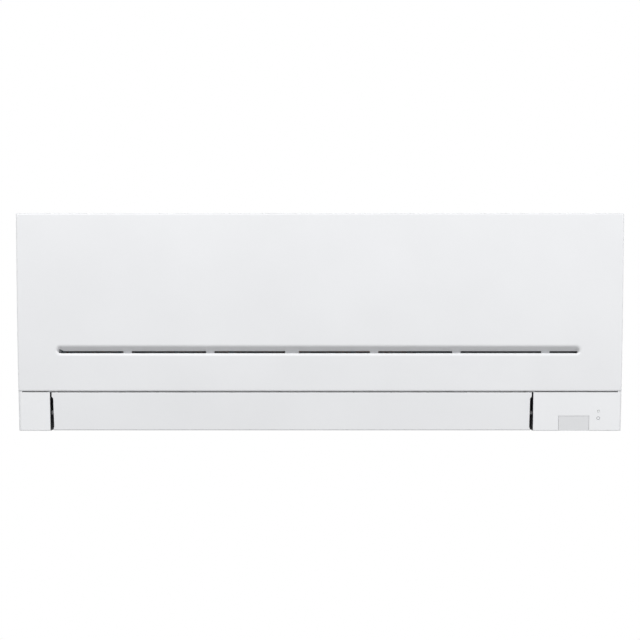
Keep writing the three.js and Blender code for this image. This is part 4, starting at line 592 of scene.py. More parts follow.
def net_group():
    """Woven net: crossing threads in the piece's own UV, and the open meshes between them."""
    group, tree, given = new_group(
        "Woven net", [("UV", VECTOR, None), ("Threads", FLOAT, 900.0)],
        [("Cover", FLOAT), ("Height", FLOAT)])
    scaled = tree.add("VectorMath", {"operation": "SCALE"}, _0=given["UV"],
                      Scale=given["Threads"])
    parts = tree.add("SeparateXYZ", Vector=scaled.outputs[0])
    threads = [tree.math("MULTIPLY", tree.math("PINGPONG", parts.outputs[axis], 0.5), 2.0)
               for axis in "XY"]
    height = tree.math("MAXIMUM", *threads)
    cover = tree.math("GREATER_THAN", height, NET_OPEN)
    tree.add("NodeGroupOutput", Cover=cover, Height=height)
    return group


GROUPS = {}


def group_node(tree, name, **sockets):
    return tree.add("Group", {"node_tree": GROUPS[name]}, **sockets)


def new_material(name):
    material = bpy.data.materials.new(name)
    material.use_nodes = True
    material.node_tree.nodes.clear()
    tree = Tree(material.node_tree)
    return material, tree, tree.add("TexCoord").outputs


def between(tree, factor, low, high):
    """A colour that runs from low to high."""
    mix = tree.add("Mix", {"data_type": "RGBA"}, _0=factor)
    mix.inputs[6].default_value = (*low, 1)
    mix.inputs[7].default_value = (*high, 1)
    return mix.outputs[2]


def ranged(tree, value, low, high, start=0.3, end=0.7):
    """A value from start to end, carried to the range low to high."""
    return tree.add("MapRange", _0=value, _1=start, _2=end, _3=low, _4=high).outputs[0]


def close(tree, colour, roughness, height, strength, distance, **constants):
    """The material's shader with its bump, and the output."""
    bump = tree.add("Bump", Height=height, Strength=strength, Distance=distance)
    shader = tree.add("BsdfPrincipled", Base_Color=colour, Roughness=roughness,
                      Normal=bump.outputs[0], **constants)
    tree.add("OutputMaterial", Surface=shader.outputs[0])


def shade(colour, factor):
    return tuple(min(1.0, c * factor) for c in colour)


def plastic(name, colour, roughness, grain=2500.0, bump=0.12, tone=0.02, **constants):
    """Moulded plastic."""
    material, tree, place = new_material(name)
    surface = group_node(tree, "Moulded surface", Position=place["Object"], Grain=grain)
    mask = ranged(tree, surface.outputs["Mottle"], 0.0, 1.0)
    close(tree, between(tree, mask, shade(colour, 1 - tone), shade(colour, 1 + tone * 0.3)),
          ranged(tree, surface.outputs["Mottle"], roughness - 0.03, roughness + 0.03),
          surface.outputs["Height"], bump, FINE_BUMP, **constants)
    return material


def metal(name, low, high, roughness, stretch):
    """Drawn, rolled or turned metal."""
    material, tree, place = new_material(name)
    surface = group_node(tree, "Drawn metal", Position=place["Object"], Stretch=stretch)
    close(tree, between(tree, ranged(tree, surface.outputs["Blotches"], 0.0, 1.0), low, high),
          ranged(tree, surface.outputs["Streaks"], roughness - 0.06, roughness + 0.08),
          surface.outputs["Streaks"], 0.15, FINE_BUMP, Metallic=1.0)
    return material


def zinc(name):
    material, tree, place = new_material(name)
    surface = group_node(tree, "Zinc spangle", Position=place["Object"])
    close(tree, between(tree, surface.outputs["Crystals"], (0.56, 0.58, 0.60), (0.66, 0.68, 0.69)),
          ranged(tree, surface.outputs["Crystals"], 0.34, 0.44, 0.0, 1.0),
          surface.outputs["Height"], 0.06, FINE_BUMP, Metallic=1.0)
    return material


def foam(name):
    material, tree, place = new_material(name)
    cells = tree.add("TexVoronoi", Vector=place["Object"], Scale=900.0)
    close(tree, between(tree, ranged(tree, cells.outputs["Distance"], 0.0, 1.0, 0.0, 0.6),
                        (0.35, 0.35, 0.33), (0.62, 0.62, 0.60)),
          ranged(tree, cells.outputs["Distance"], 0.95, 0.85, 0.0, 0.6),
          cells.outputs["Distance"], 0.7, 0.4 * MM)
    return material


def circuit_board(name):
    """Green board: copper tracks under the lacquer."""
    material, tree, place = new_material(name)
    tracks = tree.add("TexBrick", {"offset": 0.35}, Vector=place["Object"], Scale=70.0)
    tracks.inputs["Mortar Size"].default_value = 0.03
    close(tree, between(tree, tracks.outputs["Fac"], (0.012, 0.10, 0.035), (0.05, 0.24, 0.09)),
          ranged(tree, tracks.outputs["Fac"], 0.38, 0.28, 0.0, 1.0),
          tracks.outputs["Fac"], 0.2, 0.05 * MM, Coat_Weight=0.4)
    return material


def net(name):
    material, tree, place = new_material(name)
    weave = group_node(tree, "Woven net", UV=place["UV"])
    blotches = tree.add("TexNoise", Vector=place["Object"], Scale=25.0)
    close(tree, between(tree, blotches.outputs["Fac"], (0.20, 0.24, 0.27), (0.30, 0.34, 0.37)),
          ranged(tree, weave.outputs["Height"], 0.75, 0.55, 0.0, 1.0),
          weave.outputs["Height"], 0.5, 0.1 * MM, Alpha=weave.outputs["Cover"])
    return material


def linear(r, g, b):
    """A colour given as it looks on the screen, from 0 to 255."""
    return tuple(((c / 255 + 0.055) / 1.055) ** 2.4 if c > 10 else c / 3294.6 for c in (r, g, b))


# ---- What a user would change ----
def tint(name, what, *rgb):
    """A colour setting."""
    return FloatVectorProperty(name=name, description="Colour of " + what, subtype="COLOR",
                               size=3, min=0, max=1, default=linear(*rgb))


def power(name, what, watts):
    """The setting for a light's strength."""
    return FloatProperty(name=name, description="Strength of " + what, subtype="POWER",
                         unit="POWER", min=0, default=watts)


class IndoorUnitSettings(bpy.types.PropertyGroup):
    """Sizes and colours of the indoor unit"""

    panel_colour: tint("Panel colour", "the front panel", 230, 231, 233)
    casing_colour: tint("Casing colour", "the casing and its small parts", 234, 235, 237)
    vane_colour: tint("Vane colour", "the horizontal vane", 229, 230, 232)
    window_colour: tint("Window colour", "the receiver window", 222, 223, 225)
    rim: FloatProperty(
        name="Slot rim", description="Rounding of the intake slot's rim",
        subtype="DISTANCE", unit="LENGTH", min=0.001, max=0.005, default=3.7 * MM)
    blades: IntProperty(
        name="Fan blades", description="Blades round the cross-flow fan",
        min=20, max=44, default=35)
    key_light: power("Key light", "the soft light above and to the left", 79.0)
    fill_light: power("Fill light", "the soft light in front and to the right", 48.0)
    back_light: power("Back light", "each of the two soft lights behind the unit", 32.0)
    ambient: FloatProperty(
        name="Ambient light", description="Strength of the light from all round",
        min=0, max=2, default=0.48)


def settings():
    return bpy.context.scene.indoor_unit


class UnitOperator:
    """What all the operators share."""

    bl_options = {"REGISTER", "UNDO"}


class INDOORUNIT_OT_finishes(UnitOperator, bpy.types.Operator):
    """Makes the finishes and puts them on the CAD nodes"""

    bl_idname = "indoor_unit.finishes"
    bl_label = "Finishes"

    def execute(self, context):
        for build in (moulded_group, drawn_group, spangle_group, net_group):
            group = build()
            GROUPS[group.name] = group
        FINISHES.update({
            "white_panel": plastic("White panel", settings().panel_colour, 0.36),
            # The slot's plastic: rougher than the panel, and darkened as painted shade for the
            # inside of the slot.
            "slot_plastic": plastic("Slot plastic", shade(settings().panel_colour, SLOT_PAINTED_SHADE),
                                    0.5, bump=0.2),
            "white_casing": plastic("White casing", settings().casing_colour, 0.40, bump=0.16),
            "vane_plastic": plastic("Vane plastic", settings().vane_colour, 0.38),
            "housing_plastic": plastic("Housing plastic", linear(214, 215, 216), 0.5, 1800.0, 0.25),
            "grey_plastic": plastic("Grey plastic", linear(146, 149, 152), 0.5, 1800.0, 0.25),
            "fan_plastic": plastic("Fan plastic", linear(58, 60, 63), 0.5, 1800.0, 0.2),
            "louvre_plastic": plastic("Louvre plastic", linear(52, 54, 57), 0.48, 1800.0, 0.2),
            "filter_plastic": plastic("Filter frame", linear(120, 130, 138), 0.55, 1500.0, 0.25),
            "window_plastic": plastic("Window plastic", settings().window_colour, 0.16,
                                      3000.0, 0.03, Coat_Weight=0.3),
            "lamp_plastic": plastic("Lamp lens", linear(228, 231, 230), 0.14, 3000.0, 0.02),
            "rubber": plastic("Rubber", (0.02, 0.02, 0.021), 0.75, 1200.0, 0.4, 0.2),
            "steel_sheet": zinc("Zinc-coated sheet"),
            "coil_steel": zinc("Coil end plate"),
            "foam": foam("Foam strip"),
            "aluminium_fins": metal("Coated fins", (0.36, 0.50, 0.62), (0.48, 0.62, 0.72), 0.36,
                                    (60.0, 400.0, 400.0)),
            "copper": metal("Copper tube", (0.60, 0.26, 0.14), (0.80, 0.40, 0.24), 0.24,
                            (30.0, 900.0, 900.0)),
            "brass": metal("Brass", (0.62, 0.44, 0.17), (0.76, 0.57, 0.26), 0.24,
                           (1500.0, 60.0, 60.0)),
            "motor_steel": metal("Motor steel", (0.42, 0.43, 0.45), (0.56, 0.57, 0.58), 0.34,
                                 (1400.0, 40.0, 40.0)),
            "bearing_metal": metal("Sintered bush", (0.44, 0.36, 0.26), (0.56, 0.47, 0.34), 0.45,
                                   (900.0, 900.0, 900.0)),
            "circuit_board": circuit_board("Circuit board"),
            "net": net("Filter net"),
        })
        for node, slot in SLOTS.items():
            materials = frame["nodes"][node].data.materials
            materials.clear()
            materials.append(FINISHES[slot])
        return {"FINISHED"}


# ---- Front panel ----
def paint_slot_shade(panel):
    """Paints shade into the slot: a darker, duller finish behind its rim, and the dark louvre
    finish on the slit's closed part as painted shadow.
    """
    rim_depth = settings().rim * math.tan(RIM_TURN / 2)

    def within(face, depth, facing):
        place = face.calc_center_median()
        return (place.y + front(place.z) > depth and face.normal.y < facing
                and abs(place.z - SLOT_MIDDLE_Z) < 3 * SLOT_HOLE
                and SLOT_X[0] < place.x < SLOT_X[1])

    # Painted shade: the faces behind the slot's rim are made darker than the panel.
    refinish(panel, "slot_plastic", lambda f: within(f, rim_depth + NEAR, 0.3))
    # Painted shadow: the slit's closed back, where a wall lies behind it, gets the dark louvre
    # finish in place of the shade there.
    refinish(panel, "louvre_plastic", lambda f: within(f, SLOT_DEPTH + SLIT_BLIND / 2, -0.8))


def hinge_arm(x):
    d, z = -HINGE.y, HINGE.z
    inside = DEPTH - PANEL_WALL / 2
    half = HINGE_ARM / 2
    outline = [(d - HINGE_EYE[0], z - HINGE_EYE[0]), (d - HINGE_EYE[0], z + HINGE_EYE[1]),
               (d + HINGE_ARM_LEAN, TOP - PANEL_WALL), (inside, TOP - PANEL_WALL / 2),
               (inside, z - HINGE_ARM_FOOT)]
    arm = section("hinge_arm", outline, x - half, x + half)
    reach = math.copysign(half + HINGE_PIN[1], x)
    return carve(arm, axle("hinge_pin", HINGE, x, x + reach, HINGE_PIN[0], 24), "UNION")


def tilted(tool):
    """Lays a tool, drawn with the front at y = 0, on the bowed front at the slot."""
    tool.rotation_euler = (math.atan(slope(SLOT_MIDDLE_Z)), 0, 0)
    tool.location = (0, -front(SLOT_MIDDLE_Z), SLOT_MIDDLE_Z)
    only(tool)
    return settled(tool.name)


def slot_cutter(rim):
    """The slot as a long hole with a rounded rim and a roof that slopes in to the slit."""
    only()
    bpy.ops.mesh.primitive_circle_add(
        vertices=48, radius=SLOT_HOLE, fill_type="NGON",
        location=(0, SLOT_DEPTH, -SLOT_DROP), rotation=(math.pi / 2, 0, 0))
    cutter = settled("slot_cutter")
    curve = rim / math.sin(RIM_TURN)
    steps = []
    for i in range(RIM_STEPS + 1):
        turn = RIM_TURN * (1 - i / RIM_STEPS)
        steps.append((SLOT_HOLE + rim - curve * math.sin(turn), curve * (1 - math.cos(turn))))
    steps.append((SLOT_HOLE + rim, -SLOT_LEAD))
    radius, depth, low = SLOT_HOLE, SLOT_DEPTH, -SLOT_DROP
    with editing(cutter):
        for wider, nearer in steps:
            extrude((0, nearer - depth, -low))
            bpy.ops.transform.resize(value=(wider / radius, 1, wider / radius),
                                     center_override=(0, nearer, 0))
            radius, depth, low = wider, nearer, 0
        for side, end in ((-1, SLOT_X[0]), (1, SLOT_X[1])):
            shift(cutter, lambda v: v.co.x * side > NEAR, (end - side * (SLOT_HOLE + rim), 0, 0))
        roof = SLOT_BACK - SLOT_HOLE - SLOT_DROP
        pick(cutter, "VERT", lambda v: v.co.y > SLOT_DEPTH - NEAR and v.co.z > roof)
        bpy.ops.transform.resize(value=(1, 1, 0), center_override=(0, SLOT_DEPTH, roof))
        for side in (-1, 1):
            shift(cutter, lambda v: v.co.y > SLOT_DEPTH - NEAR and v.co.x * side > NEAR,
                  (-side * SLOT_END_LEAN, 0, 0))
        face_outwards()
    return cutter


def upturn():
    """The slit's left end, which turns up with the rounded end of the slot."""
    left = SLOT_X[0] + SLIT_END + UPTURN_INSET
    foot = -SLOT_HOLE - SLOT_DROP + UPTURN_INSET
    right = left + UPTURN_SIDE[0]
    return face("slit_upturn", [
        (left, foot), (left, UPTURN_TOP[1]), (left + UPTURN_TOP[0], UPTURN_TOP[1]),
        (right, -SLOT_HOLE + UPTURN_SIDE[1]), (right, foot)],
        -SLOT_DEPTH - SLOT_SHELL - MM, -UPTURN_START)


def slits():
    """The open slit at the foot of the roof, left and right of each rib."""
    length = SLOT_X[1] - SLOT_X[0]
    edges = [SLOT_X[0] + SLIT_END]
    for share, width in RIBS:
        middle = SLOT_X[0] + length * share
        edges += [middle - width * MM / 2, middle + width * MM / 2]
    edges.append(SLOT_X[1] - SLIT_END)
    return joined("slits", [
        block("slit", (x0, SLOT_DEPTH - SLIT_START, -SLOT_HOLE - SLOT_DROP),
              (x1, SLOT_DEPTH + (2 * SLOT_SHELL if x1 < FILTER_X[1][1] else SLIT_BLIND),
               -SLOT_HOLE + SLIT_HEIGHT - SLOT_DROP))
        for x0, x1 in zip(edges[::2], edges[1::2])])


class INDOORUNIT_OT_front_panel(UnitOperator, bpy.types.Operator):
    """Models the bowed front panel with its slot and hinge arms"""

    bl_idname = "indoor_unit.front_panel"
    bl_label = "Front panel"

    def execute(self, context):
        panel = bowed("panel_moulding", 0, PANEL_FOOT, PANEL_SIDE_EDGE, 6)
        for z, width, segments in ((TOP, PANEL_TOP_EDGE, 4), (PANEL_FOOT, PANEL_FOOT_EDGE, 3)):
            round_edges(panel, width, segments, lambda e: (
                all(abs(v.co.z - z) < NEAR for v in e.verts) and len(e.link_faces) == 2
                and any(abs(f.normal.z) < 0.5 and f.normal.y < 0.5 for f in e.link_faces)))
        carve(panel, bowed("panel_hollow", PANEL_WALL, SEAM + PANEL_WALL, PANEL_INNER_EDGE, 4))
        foot, inside = front(SEAM), SIDE - PANEL_WALL
        carve(panel, block(
            "foot_cut", (-inside, -foot + PANEL_BOTTOM_RETURN, SEAM - 2 * MM),
            (inside, -foot + 2 * PANEL_RETURN, SEAM + 1.5 * PANEL_WALL)))
        for side in (-1, 1):
            carve(panel, hinge_arm(side * HINGE_ARMS_X), "UNION")
        carve(panel, tilted(block(
            "trough", (SLOT_X[0] - SLOT_SHELL, SLOT_TROUGH[0], -SLOT_HOLE - SLOT_TROUGH[1]),
            (SLOT_X[1] + SLOT_SHELL, SLOT_DEPTH + SLOT_SHELL, SLOT_HOLE + SLOT_TROUGH[1]))),
            "UNION")
        for tool in (slot_cutter(settings().rim), slits(), upturn()):
            carve(panel, tilted(tool))
        finish(panel, "panel", "white_panel", ["front_panel"])
        paint_slot_shade(panel)
        return {"FINISHED"}


# ---- Vane ----
def walled(line):
    """An open line with the wall's thickness on its inner side."""
    inner = []
    for i, (d, z) in enumerate(line):
        inward = square_to(line, i)
        inner.append((d + inward[0] * VANE_WALL, z + inward[1] * VANE_WALL))
    return line + inner[::-1]


def vane_pin(vane, x0, x1):
    carve(vane, axle("vane_pin", PIVOT, x0, x1, PIVOT_RADIUS), "UNION")


def vane_rib(vane, x):
    z0, z1 = PIVOT.z - VANE_RIB_SPAN / 2, PIVOT.z + VANE_RIB_SPAN / 2
    plate = section("vane_rib", [
        (front(z0) - MM, z0), (front(z1) - MM, z1), (-PIVOT.y, PIVOT.z + PIVOT_HUB),
        (-PIVOT.y, PIVOT.z - PIVOT_HUB)], x, x + VANE_RIB)
    hub = axle("vane_hub", PIVOT, x, x + VANE_RIB, PIVOT_HUB)
    carve(vane, carve(plate, hub, "UNION"), "UNION")


class INDOORUNIT_OT_vane(UnitOperator, bpy.types.Operator):
    """Models the horizontal vane with its ribs, hubs and pins"""

    bl_idname = "indoor_unit.vane"
    bl_label = "Horizontal vane"

    def execute(self, context):
        low = VANE_FOOT + VANE_CORNER
        line = [(front(z), z) for z in reversed(heights(low, VANE_TOP, 4 * MM))]
        line += quarter(front(low) - VANE_CORNER, low, VANE_CORNER, -1)
        line.append((front(BOTTOM) - VANE_LIP, VANE_FOOT))
        vane = section("vane_moulding", walled(line), *VANE_X)
        for x, side in zip(VANE_X, (1, -1)):
            outline = [(x - side * CLEAR, VANE_TOP + CLEAR), (x, VANE_TOP + CLEAR)]
            outline += [(x + side * step, VANE_TOP - drop) for drop, step in VANE_END]
            outline.append((x - side * CLEAR, BOTTOM - MM))
            carve(vane, face("vane_trim", outline, VANE_BACK, DEPTH + CLEAR))
        round_edges(vane, VANE_END_EDGE, 2, lambda e: (
            len(e.link_faces) == 2 and e.calc_face_angle(0) > math.radians(50)
            and all(v.co.x < VANE_X[0] + 3 * MM or v.co.x > VANE_X[1] - 3 * MM for v in e.verts)))
        inset = MM + VANE_TAPER
        places = [VANE_X[0] + inset, VANE_X[1] - inset - VANE_RIB]
        for node in ("vane_support_left", "vane_support_right"):
            low_end, high_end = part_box(node)
            middle = (low_end.x + high_end.x) / 2
            places += [middle - SUPPORT_GAP - VANE_RIB, middle + SUPPORT_GAP]
            vane_pin(vane, middle - SUPPORT_GAP - MM, middle + SUPPORT_GAP + MM)
        for x in places:
            vane_rib(vane, x)
        vane_pin(vane, OPEN_X[0] - PIVOT_REACH[0], VANE_X[0] + inset + MM)
        vane_pin(vane, VANE_X[1] - inset - MM, OPEN_X[1] + PIVOT_REACH[1])
        finish(vane, "vane", "vane_plastic", ["horizontal_vane"])
        return {"FINISHED"}


# ---- Casing ----
def foot_edges(casing):
    """Rounds the casing's lower outer edges."""

    def outer(edge):
        if len(edge.link_faces) != 2 or any(abs(v.co.z - BOTTOM) > NEAR for v in edge.verts):
            return False
        upright = [f for f in edge.link_faces if abs(f.normal.z) < 0.5]
        middle = (edge.verts[0].co + edge.verts[1].co) / 2
        return len(upright) == 1 and upright[0].normal.y < 0.5 and (
            abs(middle.x) > SIDE - FOOT_ZONE or -middle.y > front(BOTTOM) - FOOT_ZONE) and not (
            abs(abs(upright[0].normal.x) - 1) < 0.01 and abs(middle.x) < SIDE - MM)

    round_edges(casing, FOOT_EDGE, 4, outer)


class INDOORUNIT_OT_casing(UnitOperator, bpy.types.Operator):
    """Dresses the casing, grille, caps and button"""

    bl_idname = "indoor_unit.casing"
    bl_label = "Casing and its small parts"

    def execute(self, context):
        casing = adopted("front_casing", 0.35 * MM, shaped=foot_edges)
        # Painted shade: the walls beside the vane get the dark finish of the louvres, standing in
        # for the shade in the gaps at the vane's ends.
        refinish(casing, "louvre_plastic", lambda f: abs(f.normal.x) > 0.9 and any(
            abs(f.calc_center_median().x - x) < MM for x in OPEN_X))
        for node, edge in (("intake_grille", 0.4), ("screw_cap_left", 0.3),
                           ("screw_cap_right", 0.3), ("emergency_button", 0.4),
                           ("rear_chassis", 0.3), ("electrical_box", 0.3)):
            adopted(node, edge * MM)
        return {"FINISHED"}


# ---- Display ----
def fill_gap(window):
    """Closes the gap above the window."""
    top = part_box("receiver_window")[1].z
    with editing(window):
        shift(window, lambda v: v.co.z > top - NEAR, (0, 0, WINDOW_GAP))


class INDOORUNIT_OT_display(UnitOperator, bpy.types.Operator):
    """Dresses the receiver window and lamp and prints the small ring mark"""

    bl_idname = "indoor_unit.display"
    bl_label = "Receiver window, lamp and mark"

    def execute(self, context):
        adopted("receiver_window", 0.2 * MM, shaped=fill_gap)
        adopted("indicator_lamp", 0.15 * MM)
        x, z = MARK_AT
        only()
        bpy.ops.mesh.primitive_torus_add(
            major_segments=40, minor_segments=8, major_radius=MARK_RING[0],
            minor_radius=MARK_RING[1], location=(x, -front(z) - MARK_RISE, z),
            rotation=(MARK_TILT, 0, 0))
        bpy.context.object.scale = (1, 1, MARK_FLAT)
        finish(settled("ring_mark"), "unit", "grey_plastic")
        return {"FINISHED"}


# ---- Filters ----
def filter_net(side, x0, x1):
    knee = TOP - FILTER_TOP_DROP - FILTER_BEND
    line = [(front(z) - FILTER_INSET - NET_INSET, z)
            for z in heights(FILTER_FOOT_Z + MM, knee, NET_STEP)]
    line += quarter(front(knee) - FILTER_INSET - FILTER_BEND, knee, FILTER_BEND - NET_INSET, 1)
    line.append((FILTER_REAR + MM, line[-1][1]))
    only()
    bpy.ops.mesh.primitive_grid_add(x_subdivisions=1, y_subdivisions=len(line) - 1, size=1)
    piece = settled("filter_net_" + side)
    with editing(piece):
        mesh = bmesh.from_edit_mesh(piece.data)
        uv = mesh.loops.layers.uv.verify()
        rows = sorted({round(v.co.y, 5) for v in mesh.verts})
        along = [0.0]
        for a, b in zip(line, line[1:]):
            along.append(along[-1] + math.hypot(b[0] - a[0], b[1] - a[1]))
        for v in mesh.verts:
            row = rows.index(round(v.co.y, 5))
            x = x0 + MM if v.co.x < 0 else x1 - MM
            v.co = (x, -line[row][0], line[row][1])
            for loop in v.link_loops:
                loop[uv].uv = (x, along[row])
        bmesh.update_edit_mesh(piece.data)
    modified(piece, "SOLIDIFY", thickness=NET_THREAD)
    finish(piece, "unit", "net", angle=40)


class INDOORUNIT_OT_filters(UnitOperator, bpy.types.Operator):
    """Dresses the filter frames and lays their nets"""

    bl_idname = "indoor_unit.filters"
    bl_label = "Air filters"

    def execute(self, context):
        for side, span in zip(("left", "right"), FILTER_X):
            adopted("air_filter_" + side, 0.2 * MM)
            filter_net(side, *span)
        return {"FINISHED"}


# ---- Coil ----
def rounded(pipe, swell):
    """Makes a pipe of few sides round, at the same thickness."""
    with editing(pipe):
        bpy.ops.transform.shrink_fatten(value=swell)
        if pick(pipe, "EDGE", lambda e: len(e.link_faces) == 2
                and e.calc_face_angle(0) > PIPE_CORNER):
            bpy.ops.transform.edge_crease(value=1)
    modified(pipe, "SUBSURF", levels=2, render_levels=2)


def fin_stack(node):
    low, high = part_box(node)
    fin = copied(node, node + "_stack")
    with editing(fin):
        bpy.ops.mesh.remove_doubles(threshold=MERGE)
        pick(fin, "VERT", lambda v: v.co.x > low.x + NEAR)
        bpy.ops.mesh.delete(type="VERT")
        bpy.ops.mesh.select_all(action="SELECT")
        extrude((FIN, 0, 0))
        face_outwards()
    modified(fin, "ARRAY", use_relative_offset=False, use_constant_offset=True,
             count=int((high.x - low.x - FIN) / FIN_PITCH) + 1,
             constant_offset_displace=(FIN_PITCH, 0, 0))
    finish(fin, "unit", "aluminium_fins", [node])


class INDOORUNIT_OT_coil(UnitOperator, bpy.types.Operator):
    """Models the fins of both coil banks and dresses the tube and pipes"""

    bl_idname = "indoor_unit.coil"
    bl_label = "Coil and pipes"

    def execute(self, context):
        for node in ("coil_front_fins", "coil_rear_fins"):
            fin_stack(node)
        for node, swell in PIPE_SWELL.items():
            adopted(node, angle=62, shaped=lambda pipe: rounded(pipe, swell))
        for node in ("liquid_flare_nut", "gas_flare_nut"):
            adopted(node, 0.4 * MM)
        return {"FINISHED"}


# ---- Fan ----
def fan_blades(count):
    """Curved blades, thickest in the middle, set round the axis."""
    depth, thickness = FAN_BLADE
    lead = math.pi / count
    line, half = [], []
    for i in range(BLADE_STEPS + 1):
        t = i / BLADE_STEPS
        radius, turn = FAN_RADIUS - depth * t, lead * t * t * 2
        line.append((radius * math.cos(turn), radius * math.sin(turn)))
        half.append(thickness / 2 * (BLADE_TIP + (1 - BLADE_TIP) * math.sin(math.pi * t)))
    sides = ([], [])
    for i, (d, z) in enumerate(line):
        across = square_to(line, i)
        for side, sign in zip(sides, (1, -1)):
            side.append((d + sign * half[i] * across[0] - FAN_AXIS.y,
                         z + sign * half[i] * across[1] + FAN_AXIS.z))
    blades = section("fan_blades", sides[0] + sides[1][::-1], FAN_X[0] + MM, FAN_X[1] - MM)
    with editing(blades):
        bpy.ops.mesh.spin(steps=count - 1, dupli=True, angle=2 * math.pi * (count - 1) / count,
                          center=FAN_AXIS, axis=(1, 0, 0))
        face_outwards()
    return blades


def fan_discs():
    """The closed discs at both ends and the rings between them."""
    outer, bore = FAN_RADIUS - FAN_RING[0], FAN_RADIUS - FAN_BLADE[0] - FAN_RING[1]
    pieces = []
    for i in range(FAN_DISCS):
        x = FAN_X[0] + (FAN_X[1] - FAN_X[0] - FAN_DISC) * i / (FAN_DISCS - 1)
        disc = axle("disc", FAN_AXIS, x, x + FAN_DISC, outer, 72)
        if 0 < i < FAN_DISCS - 1:
            carve(disc, axle("bore", FAN_AXIS, x - MM, x + FAN_DISC + MM, bore, 72))
        pieces.append(disc)
    return joined("fan_discs", pieces)


class INDOORUNIT_OT_fan(UnitOperator, bpy.types.Operator):
    """Models the cross-flow fan blade by blade"""

    bl_idname = "indoor_unit.fan"
    bl_label = "Cross-flow fan"

    def execute(self, context):
        fan = fan_blades(settings().blades)
        carve(fan, fan_discs(), "UNION")
        left, right = FAN_X
        carve(fan, axle("stub_shaft", FAN_AXIS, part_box("crossflow_fan")[0].x, left + MM,
                        FAN_SHAFT), "UNION")
        inner = right - FAN_BOSS[1]
        carve(fan, axle("boss", FAN_AXIS, inner, right, FAN_BOSS[0], 48), "UNION")
        carve(fan, axle("bore", FAN_AXIS, inner + FAN_BORE[0], right + MM,
                        FAN_SHAFT + FAN_BORE[1], 48))
        finish(fan, "fan", "fan_plastic", ["crossflow_fan"], 40)
        return {"FINISHED"}


# ---- Small parts ----
def beads(plate):
    """Presses long beads into the plate, raised on the side away from the wall."""
    for z in PLATE_BEADS_Z:
        for x0, x1 in PLATE_BEADS_X:
            for half, d0, d1, operation in (
                    (BEAD_HALF, PLATE / 2, PLATE + BEAD_RISE, "UNION"),
                    (BEAD_HALF - PLATE, -MM, BEAD_RISE, "DIFFERENCE")):
                carve(plate, face("bead", long_hole(x0, x1, z, half), d0, d1), operation)


class INDOORUNIT_OT_small_parts(UnitOperator, bpy.types.Operator):
    """Dresses the louvres, supports, motors and fastenings"""

    bl_idname = "indoor_unit.small_parts"
    bl_label = "Louvres and small parts"

    def execute(self, context):
        for side in ("left", "right"):
            for i in range(1, 7):
                adopted(f"louvre_{side}_{i}", 0.2 * MM)
            for node in ("louvre_tie_bar_", "louvre_rail_", "vane_support_"):
                adopted(node + side, 0.2 * MM)
            adopted("casing_screw_" + side, 0.15 * MM)
        adopted("installation_plate", 0.3 * MM, shaped=beads)
        adopted("drain_spigot", 0.2 * MM)
        adopted("pipe_clamp", 0.3 * MM)
        for node in SLOTS:
            if node not in DRESSED:
                adopted(node, INNER_EDGE)
        return {"FINISHED"}


# ---- Stage ----
def add_world(context):
    world = bpy.data.worlds.new("Studio")
    world.use_nodes = True
    world.node_tree.nodes.clear()
    tree = Tree(world.node_tree)
    path = tree.add("LightPath").outputs
    seen = tree.math("MAXIMUM", path["Is Camera Ray"], path["Is Glossy Ray"])
    either = tree.math("MAXIMUM", seen, path["Is Transmission Ray"])
    strength = ranged(tree, either, settings().ambient, 1.0, 0.0, 1.0)
    background = tree.add("Background", Color=(1, 1, 1, 1), Strength=strength)
    tree.add("OutputWorld", Surface=background.outputs[0])
    context.scene.world = world


def add_light(name, place, size, watts):
    only()
    bpy.ops.object.light_add(type="AREA", location=place)
    light = bpy.context.object
    light.name = name
    light.data.shape = "RECTANGLE"
    light.data.size, light.data.size_y = size
    light.data.energy = watts
    light.rotation_euler = (LIGHT_AIM - Vector(place)).to_track_quat("-Z", "Y").to_euler()


def add_camera(context):
    only()
    bpy.ops.object.camera_add(location=(0, -DEPTH - CAMERA_DISTANCE, CAMERA_HEIGHT),
                              rotation=(math.pi / 2, 0, 0))
    camera = context.object
    camera.name = "camera"
    camera.data.sensor_width = 36
    camera.data.lens = CAMERA_LENS
    camera.data.clip_end = 60
    context.scene.camera = camera


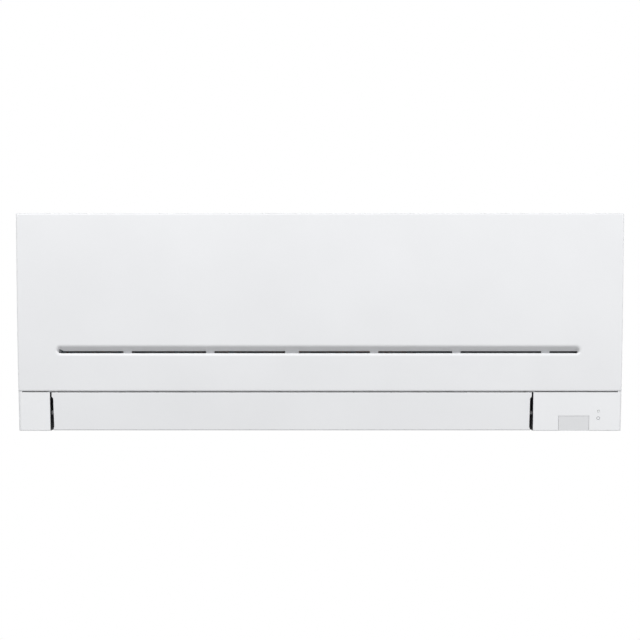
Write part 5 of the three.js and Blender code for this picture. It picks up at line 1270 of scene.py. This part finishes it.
class INDOORUNIT_OT_stage(UnitOperator, bpy.types.Operator):
    """Sets the floor, light and camera"""

    bl_idname = "indoor_unit.stage"
    bl_label = "Stage"

    def execute(self, context):
        only()
        bpy.ops.mesh.primitive_circle_add(vertices=96, radius=FLOOR[0], fill_type="NGON",
                                          location=(0, 0, FLOOR[1]))
        floor = settled("floor")
        material, tree, place = new_material("Pale floor")
        soft = tree.add("TexNoise", Vector=place["Object"], Scale=1.5, Detail=2.0)
        lit = tree.add("BsdfDiffuse", Color=between(tree, soft.outputs["Fac"], *FLOOR_TONES))
        bright = tree.add("Emission", Strength=1.0)
        path = tree.add("LightPath")
        share = tree.math("MULTIPLY", path.outputs["Is Camera Ray"], FLOOR_GLOW)
        both = tree.add("MixShader", _0=share, _1=lit.outputs[0], _2=bright.outputs[0])
        tree.add("OutputMaterial", Surface=both.outputs[0])
        floor.data.materials.append(material)
        add_world(context)
        for name, (place, size, strength) in LIGHTS.items():
            add_light(name, place, size, getattr(settings(), strength))
        add_camera(context)
        context.scene.view_settings.view_transform = "Standard"
        return {"FINISHED"}


# ---- Sidebar ----
OPERATORS = (
    INDOORUNIT_OT_stage, INDOORUNIT_OT_finishes, INDOORUNIT_OT_front_panel, INDOORUNIT_OT_vane,
    INDOORUNIT_OT_casing, INDOORUNIT_OT_display, INDOORUNIT_OT_filters, INDOORUNIT_OT_coil,
    INDOORUNIT_OT_fan, INDOORUNIT_OT_small_parts)


class INDOORUNIT_PT_sidebar(bpy.types.Panel):
    """Lists the unit's settings and the steps that build it"""

    bl_label = "Indoor unit"
    bl_idname = "INDOORUNIT_PT_sidebar"
    bl_space_type = "VIEW_3D"
    bl_region_type = "UI"
    bl_category = "Indoor unit"

    def draw(self, context):
        for name in IndoorUnitSettings.__annotations__:
            self.layout.prop(context.scene.indoor_unit, name)
        for operator in OPERATORS:
            self.layout.operator(operator.bl_idname)


CLASSES = (IndoorUnitSettings, *OPERATORS, INDOORUNIT_PT_sidebar)


def register():
    for cls in CLASSES:
        bpy.utils.register_class(cls)
    bpy.types.Scene.indoor_unit = PointerProperty(type=IndoorUnitSettings)


def unregister():
    del bpy.types.Scene.indoor_unit
    for cls in reversed(CLASSES):
        bpy.utils.unregister_class(cls)


def main():
    register()
    for operator in OPERATORS:
        group, name = operator.bl_idname.split(".")
        getattr(getattr(bpy.ops, group), name)()


if __name__ == "__main__":
    main()
